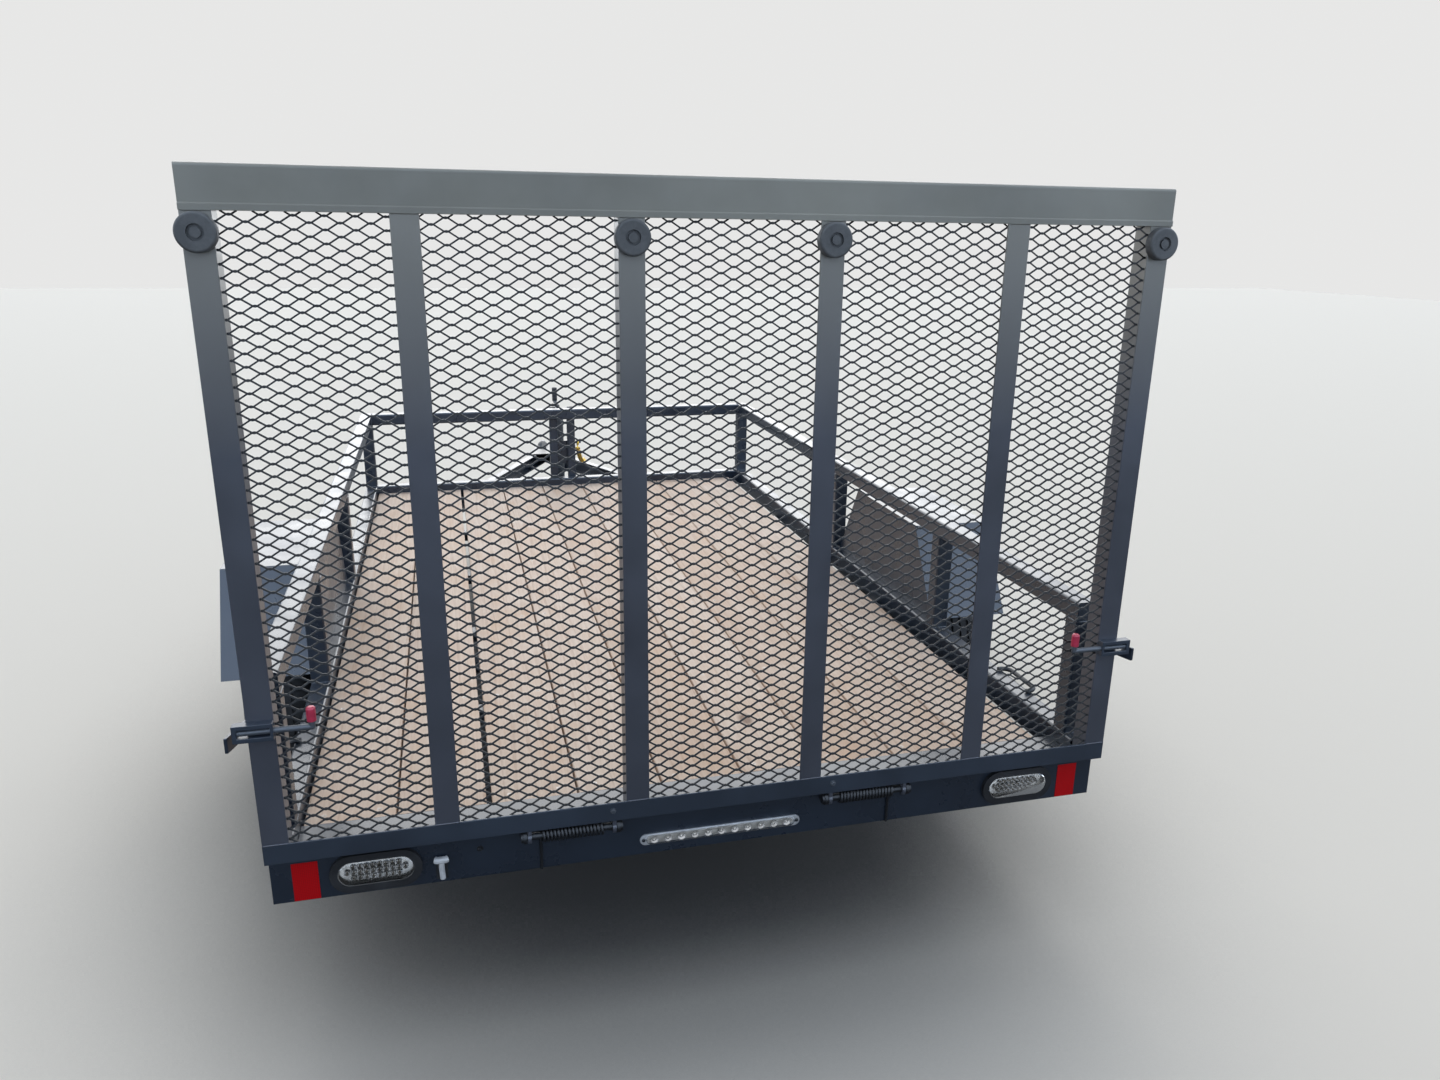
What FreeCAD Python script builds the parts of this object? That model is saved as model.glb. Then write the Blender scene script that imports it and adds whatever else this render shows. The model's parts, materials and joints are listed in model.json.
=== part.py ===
import FreeCAD, Part
import math
import os

from FreeCAD import Vector

# Single-axle utility trailer with a wooden deck, side rails, an upright mesh ramp gate and an
# A-frame tongue that stands on its jack. Millimetres, +X right, +Y forward, +Z up.
# Y is first measured forward from the gate's outer face; "save" then moves every piece so that
# the origin lies on the ground under the middle of the trailer's length.

# Bed and frame
bed_width = 1930.0            # over the side frame tubes
plank_length = 3030.0
plank_thickness = 38.0
plank_width = 192.0
plank_gap = 5.0
wide_gap = 13.0               # the gap beside the second plank
frame_tube_width = 51.0
frame_tube_height = 76.0
frame_lip = 35.0              # frame tube top above the planks
tube_wall = 3.2
tube_corner = 6.0             # outer corner radius of every square tube
rear_face_y = 38.0            # outer face of the rear cross member
rear_member_height = 111.0
rear_member_depth = 112.0     # depth of its top flange
rear_member_return = 40.0     # depth of its bottom flange
rear_member_end = 24.0        # depth of its end covers
plate = 5.0                   # bent plate and angle thickness
cross_count = 4
cross_leg = 51.0

# Rails and posts
rail_tube = 51.0
rail_top = 388.0              # above the planks
rear_post_y = 91.0            # rear face of the rear post
rear_arch_gap = 16.0          # from the post behind a fender to that fender
front_arch_gap = 4.0

# Tie-down loops on the side frames
loop_y = 406.0                # middle of each loop
loop_half = 77.0
loop_reach = 16.0             # past the frame's outer face
loop_seat = 17.0              # ends inboard of that face
loop_bend = 26.0              # bend radius
loop_rod = 6.5

# Gate
gate_height = 1339.0
gate_gap = 7.0                # gate's lower edge above the planks
gate_leg = 50.8               # angle leg of uprights and bottom rail
gate_angle = 4.8
gate_bottom_face = 45.0
gate_rail_height = 76.0
gate_rail_depth = 51.0
gate_hem_height = 10.0        # strip along the top rail's lower edge
gate_hem_proud = 2.5
inner_upright_x = 199.6       # centre of the two middle uprights
outer_bay = 336.1             # from the centre of an end upright to the next one's
mesh_thickness = 3.0
mesh_long_way = 152.4         # diamond, long way across
mesh_short_way = 70.3
mesh_strand = 11.0
pad_radius = 34.0
pad_thickness = 20.0
pad_drop = 2.0                # pad's upper edge under the top rail
pad_rounding = 5.0
pad_bolt_radius = 9.0
pad_recess_radius = 14.4
pad_recess_depth = 6.0
pad_bolt_height = 5.0

# Gate hinge and lift springs
hinge_y = 12.0
hinge_drop = 19.0             # hinge axis under the gate's lower edge
hinge_pin_radius = 8.0
hinge_head_radius = 12.0
hinge_head_thickness = 5.0
hinge_clearance = 0.25
hinge_set_x = 344.0           # middle of each hinge set
hinge_ear_offset = 92.0       # from the set's middle to a gate ear
hinge_ear_thickness = 8.0
hinge_side_gap = 1.5
hinge_ear_radius = 14.5
lift_coil_radius = 13.0       # to the middle of the wire
lift_wire_radius = 3.5
lift_coil_length = 140.0
lift_coil_bore = 8.5
lift_turn_groove = 2.5
lift_turn_pitch = 8.75
lift_leg_length = 42.0

# Latches
latch_height = 303.0          # above the gate's lower edge
latch_rod_out = 10.0          # rod's middle outside the gate's outer face
latch_rod_radius = 6.0
latch_rod_inner = 121.0       # reach inboard of the gate's edge
latch_handle = 13.0           # upright part of the rod under its grip
latch_strap_outer = 24.0      # reach outboard of the gate's edge
latch_strap_height = 36.0
latch_strap_depth = 19.0
latch_bar = 9.0               # height of each bar of the strap
latch_guide = 6.0             # thickness of its inner end
latch_grip_radius = 9.0
latch_grip_length = 30.0
latch_grip_round = 5.0
striker_gap = 5.0             # beside the strap's outer end
striker_thickness = 6.0
striker_reach = 15.0          # rearward of the gate's outer face
striker_low = 38.0            # its lower edge under the latch
striker_high = 6.0            # its upper edge under the latch

# Running gear
axle_y = 1321.0
tyre_radius = 344.0
tyre_half_width = 102.5
tyre_wall = 11.0
tyre_crown = 16.0             # rubber under the tread
tyre_shoulder = 12.0          # drop from the tread's middle to its shoulder
tyre_collar = 2.0             # over the rim's flange
tyre_belly = 8.0              # widest place inside the wall's middle
tread_half_width = 80.0
tread_edge = 10.0             # wall's upper end outside the tread
tread_edge_drop = 14.0
tread_knuckle = 2.0           # bulge of the shoulder
tread_flat = 14.0             # tread's arc ends this far inside its edge
tread_fall = 4.0              # its drop there
tread_inner = 4.0
tyre_frame_gap = 17.5         # tyre's inner side to the frame
rim_radius = 190.5
rim_half_width = 80.0
rim_edge = 5.0                # width of the rim's flange
rim_flange = 12.0             # height of the rim's flange
rim_skin = 4.0
rim_well_depth = 24.0
rim_well_half = 24.0
rim_well_slope = 6.0
disc_thickness = 6.0
disc_dish = 12.0              # how far the disc's crown stands out
disc_seat_radius = 81.0
disc_crown_radius = 108.0
disc_fall = 4.0               # from the crown back to the well
disc_hole_radius = 17.0
disc_hole_circle = 137.0
disc_hole_count = 8
axle_radius = 30.0
spindle_radius = 22.0
hub_radius = 42.0
hub_back = 76.0               # hub's inner end from the wheel's middle
hub_face = 8.0                # wheel's seat from the wheel's middle
hub_flange = 14.0
hub_flange_radius = 74.0
hub_nose = 40.0               # outer end of its barrel
hub_nose_radius = 36.0
hub_cap_start = 48.0
hub_cap_radius = 30.0
hub_cap_end = 96.0
hub_cap_bevel = 8.0
hub_skin = 6.0
pilot_clearance = 0.5
stud_circle_radius = 57.15
stud_count = 5
stud_radius = 6.0
stud_clearance = 0.6
stud_length = 34.0
nut_radius = 10.5
nut_length = 18.0
running_clearance = 0.3
axle_shoulder_gap = 6.0
spring_span = 650.0
spring_arch = 42.0
leaf_thickness = 7.0
leaf_width = 44.5
leaf_lengths = (650.0, 500.0, 360.0, 220.0)
spring_eye_radius = 17.0
spring_bolt_radius = 7.0
spring_side_gap = 1.0
spring_bolt_end = 6.0
hanger_drop = 94.23           # frame's underside above the spring eyes
hanger_plate = 6.0
hanger_half = 40.0            # half length along the frame
hanger_nose = 18.0            # around its bolt
shackle_length = 62.0
shackle_lean = 18.0
shackle_radius = 14.0
ubolt_radius = 6.0
ubolt_spacing = 50.0
ubolt_end = 14.0
spring_seat = 8.0
spring_seat_edge = 18.0

# Fenders
fender_width = 267.0
fender_seat = 25.0            # inner plate stands this far in on the frame's top
fender_rise = 312.0           # top above the planks
fender_top_half = 254.0
fender_bottom_half = 415.0
fender_plate = 3.0
fender_lip = 28.0

# Tongue, coupler and jack
tongue_height = 76.0
tongue_flange = 38.0
tongue_wall = 5.0
tongue_spread = 508.0         # leg's centre line at the frame's front face
tongue_reach = 1087.0         # from the frame's front face to where the centre lines meet
tongue_nose = 60.0            # leg's end past that meeting point
coupler_length = 270.0
coupler_nose = 100.0          # ball centre ahead of that meeting point
coupler_skirt = 46.0
ball_radius = 25.8
socket_wall = 6.0
socket_depth = 26.0
socket_drop = 42.0            # socket's mouth under the tongue's top
lever_width = 22.0
lever_length = 105.0
lever_rise = 34.0
lever_plate = 8.0
jack_ahead = 223.0            # jack ahead of the frame's front face
jack_tube_radius = 28.5
jack_tube_wall = 3.5
jack_tube_below = 141.0       # under the tongue's top
jack_tube_above = 391.0
jack_tube_end = 6.0
jack_leg_inside = 158.0
jack_foot_half_x = 90.0
jack_foot_half_y = 60.0
jack_foot_plate = 6.0
jack_beam_size = 60.0
jack_flange_half_x = 62.0
jack_flange_half_y = 30.0
jack_flange_plate = 8.0
crank_hub_radius = 13.0
crank_hub_height = 16.0
crank_arm_half = 9.0
crank_arm_plate = 6.0
crank_reach = 120.0
crank_grip_radius = 13.0
crank_grip_length = 70.0
carrier_tube = 38.0
carrier_spacing = 89.0
carrier_plate_low = 96.0      # above the planks
carrier_plate_high = 212.0

# Safety chain, from an eye on the right tongue leg up to a peg on the carrier post
chain_wire = 3.2
chain_inner_length = 25.4
chain_inner_width = 12.6
chain_gap = 0.4
chain_slack = 1.006           # length over the straight distance
chain_links = 27              # odd, so that the end links lie alike
chain_eye_plate = 5.0
chain_steps = 200             # points of the curve it hangs in
chain_eye_rise = 12.0
chain_eye_bore = 8.0
chain_eye_rim = 5.5
peg_radius = 6.0
peg_length = 30.0
peg_height = 206.0            # above the planks
hook_wire = 4.5
hook_radius = 13.0
hook_shank = 16.0
hook_eye_radius = 12.0

# Lights
light_half_length = 78.0
light_half_height = 28.0
light_inset = 209.0           # light's middle from the bed's side
light_rim = 16.0
light_depth = 11.0
lens_proud = 3.0
light_drop = 57.0             # below the rear member's top edge
bar_half_length = 190.0
bar_height = 27.0
bar_drop = 74.0
bar_depth = 9.0
tape_width = 52.0
tape_inset = 42.0
tape_margin = 2.0             # over the rear member's lower edge
tape_drop = 20.0              # under its upper edge
tape_thickness = 1.0

# Heights follow from the tyre, the axle and the springs that hang under the frame.
spring_top = tyre_radius - axle_radius
arch_radius = ((spring_span / 2) ** 2 + spring_arch ** 2) / (2 * spring_arch)
arch_centre_z = spring_top + arch_radius
eye_turn = spring_span / 2 / arch_radius
eye_radius = arch_radius - spring_eye_radius + leaf_thickness
frame_bottom = arch_centre_z - eye_radius * math.cos(eye_turn) + hanger_drop
frame_top = frame_bottom + frame_tube_height
deck_height = frame_top - frame_lip
plank_bottom = deck_height - plank_thickness
rail_z = deck_height + rail_top
rail_low = rail_z - rail_tube
gate_bottom = deck_height + gate_gap
gate_top = gate_bottom + gate_height
gate_rail_low = gate_top - gate_rail_height
hinge_z = gate_bottom - hinge_drop
latch_z = gate_bottom + latch_height
fender_top = deck_height + fender_rise

half_width = bed_width / 2
inner_half = half_width - frame_tube_width
fender_inner_x = half_width - fender_seat
fender_outer_x = fender_inner_x + fender_width
wheel_x = half_width + tyre_frame_gap + tyre_half_width
spring_x = inner_half + hanger_plate + spring_side_gap + leaf_width / 2
light_x = half_width - light_inset
end_upright_x = half_width - gate_leg / 2
outer_upright_x = end_upright_x - outer_bay
upright_xs = (-end_upright_x, -outer_upright_x, -inner_upright_x,
              inner_upright_x, outer_upright_x, end_upright_x)

wood_start = rear_face_y + rear_member_depth
wood_end = wood_start + plank_length
frame_front = wood_end + frame_tube_width
side_start = rear_face_y + rear_member_end
cross_pitch = plank_length / (cross_count + 1)
last_cross_y = wood_start + cross_count * cross_pitch
front_post_y = frame_front - rail_tube
post_stations = (rear_post_y, axle_y - fender_bottom_half - rear_arch_gap - rail_tube,
                 axle_y + fender_bottom_half + front_arch_gap, front_post_y)
tongue_angle = math.atan2(tongue_spread, tongue_reach)
tongue_half = tongue_flange / 2 / math.cos(tongue_angle)
apex_y = frame_front + tongue_reach
ball_y = apex_y + coupler_nose
coupler_radius = ball_radius + socket_wall
jack_y = frame_front + jack_ahead
jack_leg_radius = jack_tube_radius - jack_tube_wall - running_clearance
carrier_half = carrier_spacing / 2 + carrier_tube / 2
front_most = ball_y + coupler_radius
rear_most = -pad_thickness
station_shift = -(front_most + rear_most) / 2

os.makedirs("parts", exist_ok=True)


def box(x0, x1, y0, y1, z0, z1):
    return Part.makeBox(x1 - x0, y1 - y0, z1 - z0, Vector(x0, y0, z0))


def rod(radius, start, end):
    along = end - start
    return Part.makeCylinder(radius, along.Length, start, along)


def prism(points, along):
    wire = Part.makePolygon([Vector(*p) for p in points] + [Vector(*points[0])])
    return Part.Face(wire).extrude(Vector(*along))


def rounded_box(corners, axis, radius):
    block = box(*corners)
    edges = [e for e in block.Edges
             if abs(e.Vertexes[0].Point[axis] - e.Vertexes[1].Point[axis]) > radius]
    return block.makeFillet(radius, edges)


def tube(x0, x1, y0, y1, z0, z1, axis_name):
    """Square tube, open at both ends of its axis."""
    axis = "xyz".index(axis_name)
    inset = [tube_wall] * 3
    inset[axis] = -2 * tube_corner
    inner = (x0 + inset[0], x1 - inset[0], y0 + inset[1], y1 - inset[1],
             z0 + inset[2], z1 - inset[2])
    outside = rounded_box((x0, x1, y0, y1, z0, z1), axis, tube_corner)
    return outside.cut(rounded_box(inner, axis, tube_corner - tube_wall))


def mirrored(shape):
    return shape.mirror(Vector(0, 0, 0), Vector(1, 0, 0))


def fused(shapes):
    whole = shapes[0]
    for extra in shapes[1:]:
        whole = whole.fuse(extra)
    return whole.removeSplitter()


def save(name, shapes):
    solids = []
    for shape in shapes:
        solids.extend(shape.Solids)
    placed = Part.makeCompound([s.translated(Vector(0, station_shift, 0)) for s in solids])
    if len(solids) == 1:
        placed = placed.Solids[0]
    placed.exportStep("parts/" + name + ".step")


def save_pair(name, right_shapes):
    save(name + "_right", right_shapes)
    save(name + "_left", [mirrored(s) for s in right_shapes])


def side_frames():
    save_pair("side_frame", [tube(inner_half, half_width, side_start, frame_front,
                                  frame_bottom, frame_top, "y")])


def front_header():
    save("front_header", [tube(-inner_half, inner_half, wood_end, frame_front,
                               frame_bottom, frame_top, "x")])


def rear_member():
    low = deck_height - rear_member_height
    face = box(-half_width, half_width, rear_face_y, rear_face_y + plate, low, deck_height)
    flange = box(-inner_half, inner_half, rear_face_y, wood_start, deck_height - plate, deck_height)
    shelf = box(-half_width, half_width, rear_face_y, side_start, deck_height - plate, deck_height)
    bottom = box(-half_width, half_width, rear_face_y, rear_face_y + rear_member_return,
                 low, low + plate)
    ends = [box(x, x + plate, rear_face_y, side_start, low, deck_height)
            for x in (-half_width, half_width - plate)]
    save("rear_member", [fused([face, flange, shelf, bottom] + ends)])


def cross_members():
    members = []
    for k in range(1, cross_count + 1):
        y = wood_start + k * cross_pitch
        top = box(-inner_half, inner_half, y - cross_leg, y, plank_bottom - plate, plank_bottom)
        web = box(-inner_half, inner_half, y - plate, y, plank_bottom - cross_leg, plank_bottom)
        members.append(fused([top, web]))
    save("cross_members", members)


def deck_planks():
    planks = []
    x = -inner_half + plank_gap
    while x < inner_half - plank_gap - plank_width / 4:
        end = min(x + plank_width, inner_half - plank_gap)
        planks.append(box(x, end, wood_start, wood_end, plank_bottom, deck_height))
        x = end + (wide_gap if len(planks) == 2 else plank_gap)
    save("deck_planks", planks)


def rails():
    save_pair("side_rail", [tube(half_width - rail_tube, half_width, rear_post_y, frame_front,
                                 rail_low, rail_z, "y")])
    save("front_rail", [tube(-inner_half, inner_half, front_post_y, frame_front,
                             rail_low, rail_z, "x")])
    posts = [tube(half_width - rail_tube, half_width, y, y + rail_tube, frame_top, rail_low, "z")
             for y in post_stations]
    save("rail_posts", posts + [mirrored(post) for post in posts])


def tie_downs():
    """Round bar bent to a U, lying on each side frame with its bight past the outer face."""
    z = frame_top + loop_rod
    inner = half_width - loop_seat
    outer = half_width + loop_reach
    bend_x = outer - loop_bend
    corners = []
    for side in (-1, 1):
        y = loop_y + side * loop_half
        knee = y - side * loop_bend
        slant = loop_bend * math.sqrt(0.5)
        middle = Vector(bend_x + slant, knee + side * slant, z)
        corners.append((Vector(inner, y, z), Vector(bend_x, y, z), middle, Vector(outer, knee, z)))
    near, far = corners
    edges = [Part.LineSegment(near[0], near[1]).toShape(), Part.Arc(*near[1:]).toShape(),
             Part.LineSegment(near[3], far[3]).toShape(), Part.Arc(*far[:0:-1]).toShape(),
             Part.LineSegment(far[1], far[0]).toShape()]
    end = Part.Wire(Part.makeCircle(loop_rod, near[0], Vector(1, 0, 0)))
    loop = Part.Wire(edges).makePipeShell([end], True, True)
    save("tie_downs", [loop, mirrored(loop)])


def fenders():
    outline = [(-fender_bottom_half, frame_top), (-fender_top_half, fender_top),
               (fender_top_half, fender_top), (fender_bottom_half, frame_top)]
    slope = math.atan2(fender_top - frame_top, fender_bottom_half - fender_top_half)

    def inset(depth):
        """The outline, moved inward by a depth along its slopes and its top."""
        foot = depth / math.sin(slope)
        knee = depth / math.tan((math.pi - slope) / 2)
        return [(-fender_bottom_half + foot, frame_top),
                (-fender_top_half + knee, fender_top - depth),
                (fender_top_half - knee, fender_top - depth),
                (fender_bottom_half - foot, frame_top)]

    def band(depth, x0, x1):
        return prism([(x0, axle_y + y, z) for y, z in outline + inset(depth)[::-1]],
                     (x1 - x0, 0, 0))

    inner_face = fender_inner_x + fender_plate
    skin = band(fender_plate, inner_face, fender_outer_x)
    lip = band(fender_lip, fender_outer_x - fender_plate, fender_outer_x)
    back = prism([(fender_inner_x, axle_y + y, z) for y, z in outline], (fender_plate, 0, 0))
    save_pair("fender", [fused([skin, lip, back])])


def forward_leg(x):
    """X range of an upright's forward leg: inboard on the end uprights, outboard on the rest."""
    side = math.copysign(1.0, x) * (-1.0 if abs(x) > outer_upright_x else 1.0)
    edge = x + side * gate_leg / 2
    return (edge - gate_angle, edge) if side > 0 else (edge, edge + gate_angle)


def gate():
    rail = tube(-half_width, half_width, 0, gate_rail_depth, gate_rail_low, gate_top, "x")
    hem_top = gate_rail_low + gate_hem_height
    hem = prism([(-half_width, 0, gate_rail_low), (-half_width, -gate_hem_proud, gate_rail_low),
                 (-half_width, -gate_hem_proud, hem_top),
                 (-half_width, 0, hem_top + gate_hem_proud)], (bed_width, 0, 0))
    fill = box(-half_width, half_width, 0, tube_corner, gate_rail_low, gate_rail_low + tube_wall)
    save("gate_top_rail", [fused([rail, hem, fill])])
    face = box(-half_width, half_width, 0, gate_angle, gate_bottom, gate_bottom + gate_bottom_face)
    floor = box(-half_width, half_width, 0, gate_leg, gate_bottom, gate_bottom + gate_angle)
    save("gate_bottom_rail", [fused([face, floor])])
    leg_low = gate_bottom + gate_angle
    uprights = []
    for x in upright_xs:
        face = box(x - gate_leg / 2, x + gate_leg / 2, 0, gate_angle,
                   gate_bottom + gate_bottom_face, gate_rail_low)
        x0, x1 = forward_leg(x)
        uprights.append(fused([face, box(x0, x1, gate_angle, gate_leg, leg_low, gate_rail_low)]))
    save("gate_uprights", uprights)
    save("gate_mesh", [mesh_panel(forward_leg(a)[1], forward_leg(b)[0], leg_low, gate_rail_low)
                       for a, b in zip(upright_xs[:-1], upright_xs[1:])])
    save("gate_pads", [gate_pad(x) for x in (-end_upright_x, -inner_upright_x, inner_upright_x,
                                             end_upright_x)])


def gate_pad(x):
    z = gate_rail_low - pad_radius - pad_drop
    floor = -pad_thickness + pad_recess_depth
    pad = rod(pad_radius, Vector(x, 0, z), Vector(x, -pad_thickness, z))
    rim = [e for e in pad.Edges if len(e.Vertexes) == 1 and e.Vertexes[0].Point.y < floor]
    pad = pad.makeFillet(pad_rounding, rim)
    recess = rod(pad_recess_radius, Vector(x, -pad_thickness, z), Vector(x, floor, z))
    bolt = rod(pad_bolt_radius, Vector(x, floor, z), Vector(x, floor - pad_bolt_height, z))
    return fused([pad.cut(recess), bolt])


def mesh_panel(x0, x1, z0, z1):
    """Sheet with staggered diamond openings, centred between two uprights."""
    y0 = gate_angle
    y1 = y0 + mesh_thickness
    half_long = mesh_long_way / 2
    half_short = mesh_short_way / 2
    side = math.hypot(half_long, half_short)
    cut_long = half_long - mesh_strand * side / (2 * half_short)
    cut_short = half_short - mesh_strand * side / (2 * half_long)
    middle = (x0 + x1) / 2
    columns = int((x1 - x0) / mesh_long_way) + 2
    holes = []
    for row in range(int((z1 - z0) / half_short) + 2):
        z = z0 + row * half_short
        for column in range(-columns, columns + 1):
            x = middle + (column + 0.5 * (row % 2)) * mesh_long_way
            if x0 - cut_long < x < x1 + cut_long and z - cut_short < z1:
                holes.append(prism([(x - cut_long, y0 - plate, z), (x, y0 - plate, z - cut_short),
                                    (x + cut_long, y0 - plate, z), (x, y0 - plate, z + cut_short)],
                                   (0, y1 - y0 + 2 * plate, 0)))
    return box(x0, x1, y0, y1, z0, z1).cut(Part.makeCompound(holes))


def hinges():
    ears = []
    pins = []
    coils = []
    web_half = hinge_y
    for side in (-1, 1):
        middle = side * hinge_set_x
        reach = hinge_ear_offset + 1.5 * hinge_ear_thickness + hinge_side_gap
        pin = [rod(hinge_pin_radius, Vector(middle - reach, hinge_y, hinge_z),
                   Vector(middle + reach, hinge_y, hinge_z))]
        for end in (-1, 1):
            x = middle + end * hinge_ear_offset - hinge_ear_thickness / 2
            ear = rod(hinge_ear_radius, Vector(x, hinge_y, hinge_z),
                      Vector(x + hinge_ear_thickness, hinge_y, hinge_z))
            web = box(x, x + hinge_ear_thickness, hinge_y - web_half, hinge_y + web_half,
                      hinge_z, gate_bottom)
            hole = rod(hinge_pin_radius + hinge_clearance, Vector(x - plate, hinge_y, hinge_z),
                       Vector(x + hinge_ear_thickness + plate, hinge_y, hinge_z))
            ears.append(fused([ear, web]).cut(hole))
            lug_x = x + end * (hinge_ear_thickness + hinge_side_gap)
            lug = rod(hinge_ear_radius, Vector(lug_x, hinge_y, hinge_z),
                      Vector(lug_x + hinge_ear_thickness, hinge_y, hinge_z))
            foot = box(lug_x, lug_x + hinge_ear_thickness, hinge_y, rear_face_y,
                       hinge_z - hinge_ear_radius, deck_height)
            head_x = middle + end * reach
            head = rod(hinge_head_radius, Vector(head_x, hinge_y, hinge_z),
                       Vector(head_x + end * hinge_head_thickness, hinge_y, hinge_z))
            pin += [lug, foot, head]
        pins.append(fused(pin))
        coils.append(lift_spring(middle, side))
    save("gate_hinge_ears", ears)
    save("hinge_pins", pins)
    save("lift_springs", coils)


def lift_spring(middle, side):
    """Coil around the hinge pin, drawn as a ribbed sleeve, with one leg down the rear member."""
    half = lift_coil_length / 2
    crest = lift_coil_radius + lift_wire_radius
    groove = crest - lift_turn_groove
    turns = round(lift_coil_length / lift_turn_pitch)
    pitch = lift_coil_length / turns
    outline = [(-half, lift_coil_bore)]
    for k in range(turns):
        start = -half + k * pitch
        outline += [(start, groove), (start + pitch / 2, crest)]
    outline += [(half, groove), (half, lift_coil_bore)]
    points = [Vector(middle + a, hinge_y + r, hinge_z) for a, r in outline]
    wire = Part.makePolygon(points + points[:1])
    sleeve = Part.Face(wire).revolve(Vector(0, hinge_y, hinge_z), Vector(1, 0, 0), 360)
    x = middle + side * (half - lift_wire_radius)
    y = rear_face_y - lift_wire_radius
    leg = rod(lift_wire_radius, Vector(x, y, hinge_z), Vector(x, y, hinge_z - lift_leg_length))
    foot = rod(lift_wire_radius, Vector(x, hinge_y, hinge_z - lift_coil_radius),
               Vector(x, y, hinge_z - lift_coil_radius))
    return fused([sleeve, leg, foot])


def latches():
    """On each end upright a frame that guides a slide rod, and the striker plate on the post."""
    low = latch_z - latch_strap_height / 2
    high = latch_z + latch_strap_height / 2
    inner_x = half_width - gate_leg
    outer_x = half_width + latch_strap_outer
    start = Vector(outer_x - latch_bar, -latch_rod_out, latch_z)
    turn = Vector(half_width - latch_rod_inner, -latch_rod_out, latch_z)
    tip = turn + Vector(0, 0, latch_handle)
    strap = fused([box(inner_x, outer_x, -latch_strap_depth, 0, high - latch_bar, high),
                   box(inner_x, outer_x, -latch_strap_depth, 0, low, low + latch_bar),
                   box(outer_x - latch_bar, outer_x, -latch_strap_depth, 0, low, high),
                   box(inner_x, inner_x + latch_guide, -latch_strap_depth, 0, low, high)])
    bore_end = Vector((inner_x + latch_guide + start.x) / 2, start.y, start.z)
    strap = strap.cut(rod(latch_rod_radius, turn, bore_end))
    save("gate_latch_straps", [strap, mirrored(strap)])

    pull = fused([rod(latch_rod_radius, start, turn), Part.makeSphere(latch_rod_radius, turn),
                  rod(latch_rod_radius, turn, tip)])
    save("gate_latch_rods", [pull, mirrored(pull)])

    grip = rod(latch_grip_radius, tip, tip + Vector(0, 0, latch_grip_length))
    crown = [e for e in grip.Edges if len(e.Vertexes) == 1 and e.Vertexes[0].Point.z > tip.z + 1]
    grip = grip.makeFillet(latch_grip_round, crown)
    save("latch_grips", [grip, mirrored(grip)])

    post_end = rear_post_y + rail_tube
    slant = (latch_strap_outer + striker_gap) / rear_post_y
    flare = slant * (rear_post_y + striker_reach)
    plan = [(0, post_end), (0, rear_post_y), (flare, -striker_reach),
            (flare + striker_thickness, -striker_reach), (striker_thickness, rear_post_y),
            (striker_thickness, post_end)]
    striker = prism([(half_width + x, y, latch_z - striker_low) for x, y in plan],
                    (0, 0, striker_low - striker_high))
    save("gate_strikers", [striker, mirrored(striker)])


def wheel_point(offset, radius):
    return Vector(wheel_x + offset, axle_y, tyre_radius + radius)


def turned(edges):
    """Solid of revolution about the right wheel's axis."""
    return Part.Face(Part.Wire(edges)).revolve(wheel_point(0, 0), Vector(1, 0, 0), 360)


def turned_polygon(profile):
    points = [wheel_point(offset, radius) for offset, radius in profile]
    return turned(Part.makePolygon(points + points[:1]).Edges)


def tyre():
    """Closed section: bead, sidewall, shoulder and tread outside, then back along the inside."""
    bead = rim_half_width - rim_edge
    collar = rim_radius + rim_flange + tyre_collar
    belly = (rim_radius + tyre_radius) / 2 - tyre_belly
    shoulder = tyre_radius - tyre_shoulder
    outer_half = [(bead, rim_radius), (bead, collar), (tyre_half_width, belly),
                  (tread_half_width + tread_edge, shoulder - tread_edge_drop),
                  (tread_half_width + tread_knuckle, shoulder + tread_knuckle),
                  (tread_half_width - tread_flat, tyre_radius - tread_fall)]
    inner_half_points = [(bead - tyre_wall, rim_radius), (tyre_half_width - tyre_wall, belly),
                         (tread_half_width - tread_inner,
                          tyre_radius - tyre_crown - tyre_shoulder)]

    def arc(*three):
        return Part.Arc(*[wheel_point(a, r) for a, r in three]).toShape()

    def line(*two):
        return Part.LineSegment(*[wheel_point(a, r) for a, r in two]).toShape()

    edges = [arc((-outer_half[5][0], outer_half[5][1]), (0, tyre_radius), outer_half[5]),
             arc((-inner_half_points[2][0], inner_half_points[2][1]), (0, tyre_radius - tyre_crown),
                 inner_half_points[2])]
    for s in (-1, 1):
        bead_point, collar_point, belly_point, edge, knuckle, tread = [
            (s * a, r) for a, r in outer_half]
        inner_bead, inner_belly, inner_edge = [(s * a, r) for a, r in inner_half_points]
        edges += [line(bead_point, collar_point), arc(collar_point, belly_point, edge),
                  arc(edge, knuckle, tread), line(bead_point, inner_bead),
                  arc(inner_bead, inner_belly, inner_edge)]
    return turned(Part.sortEdges(edges)[0])


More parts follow.
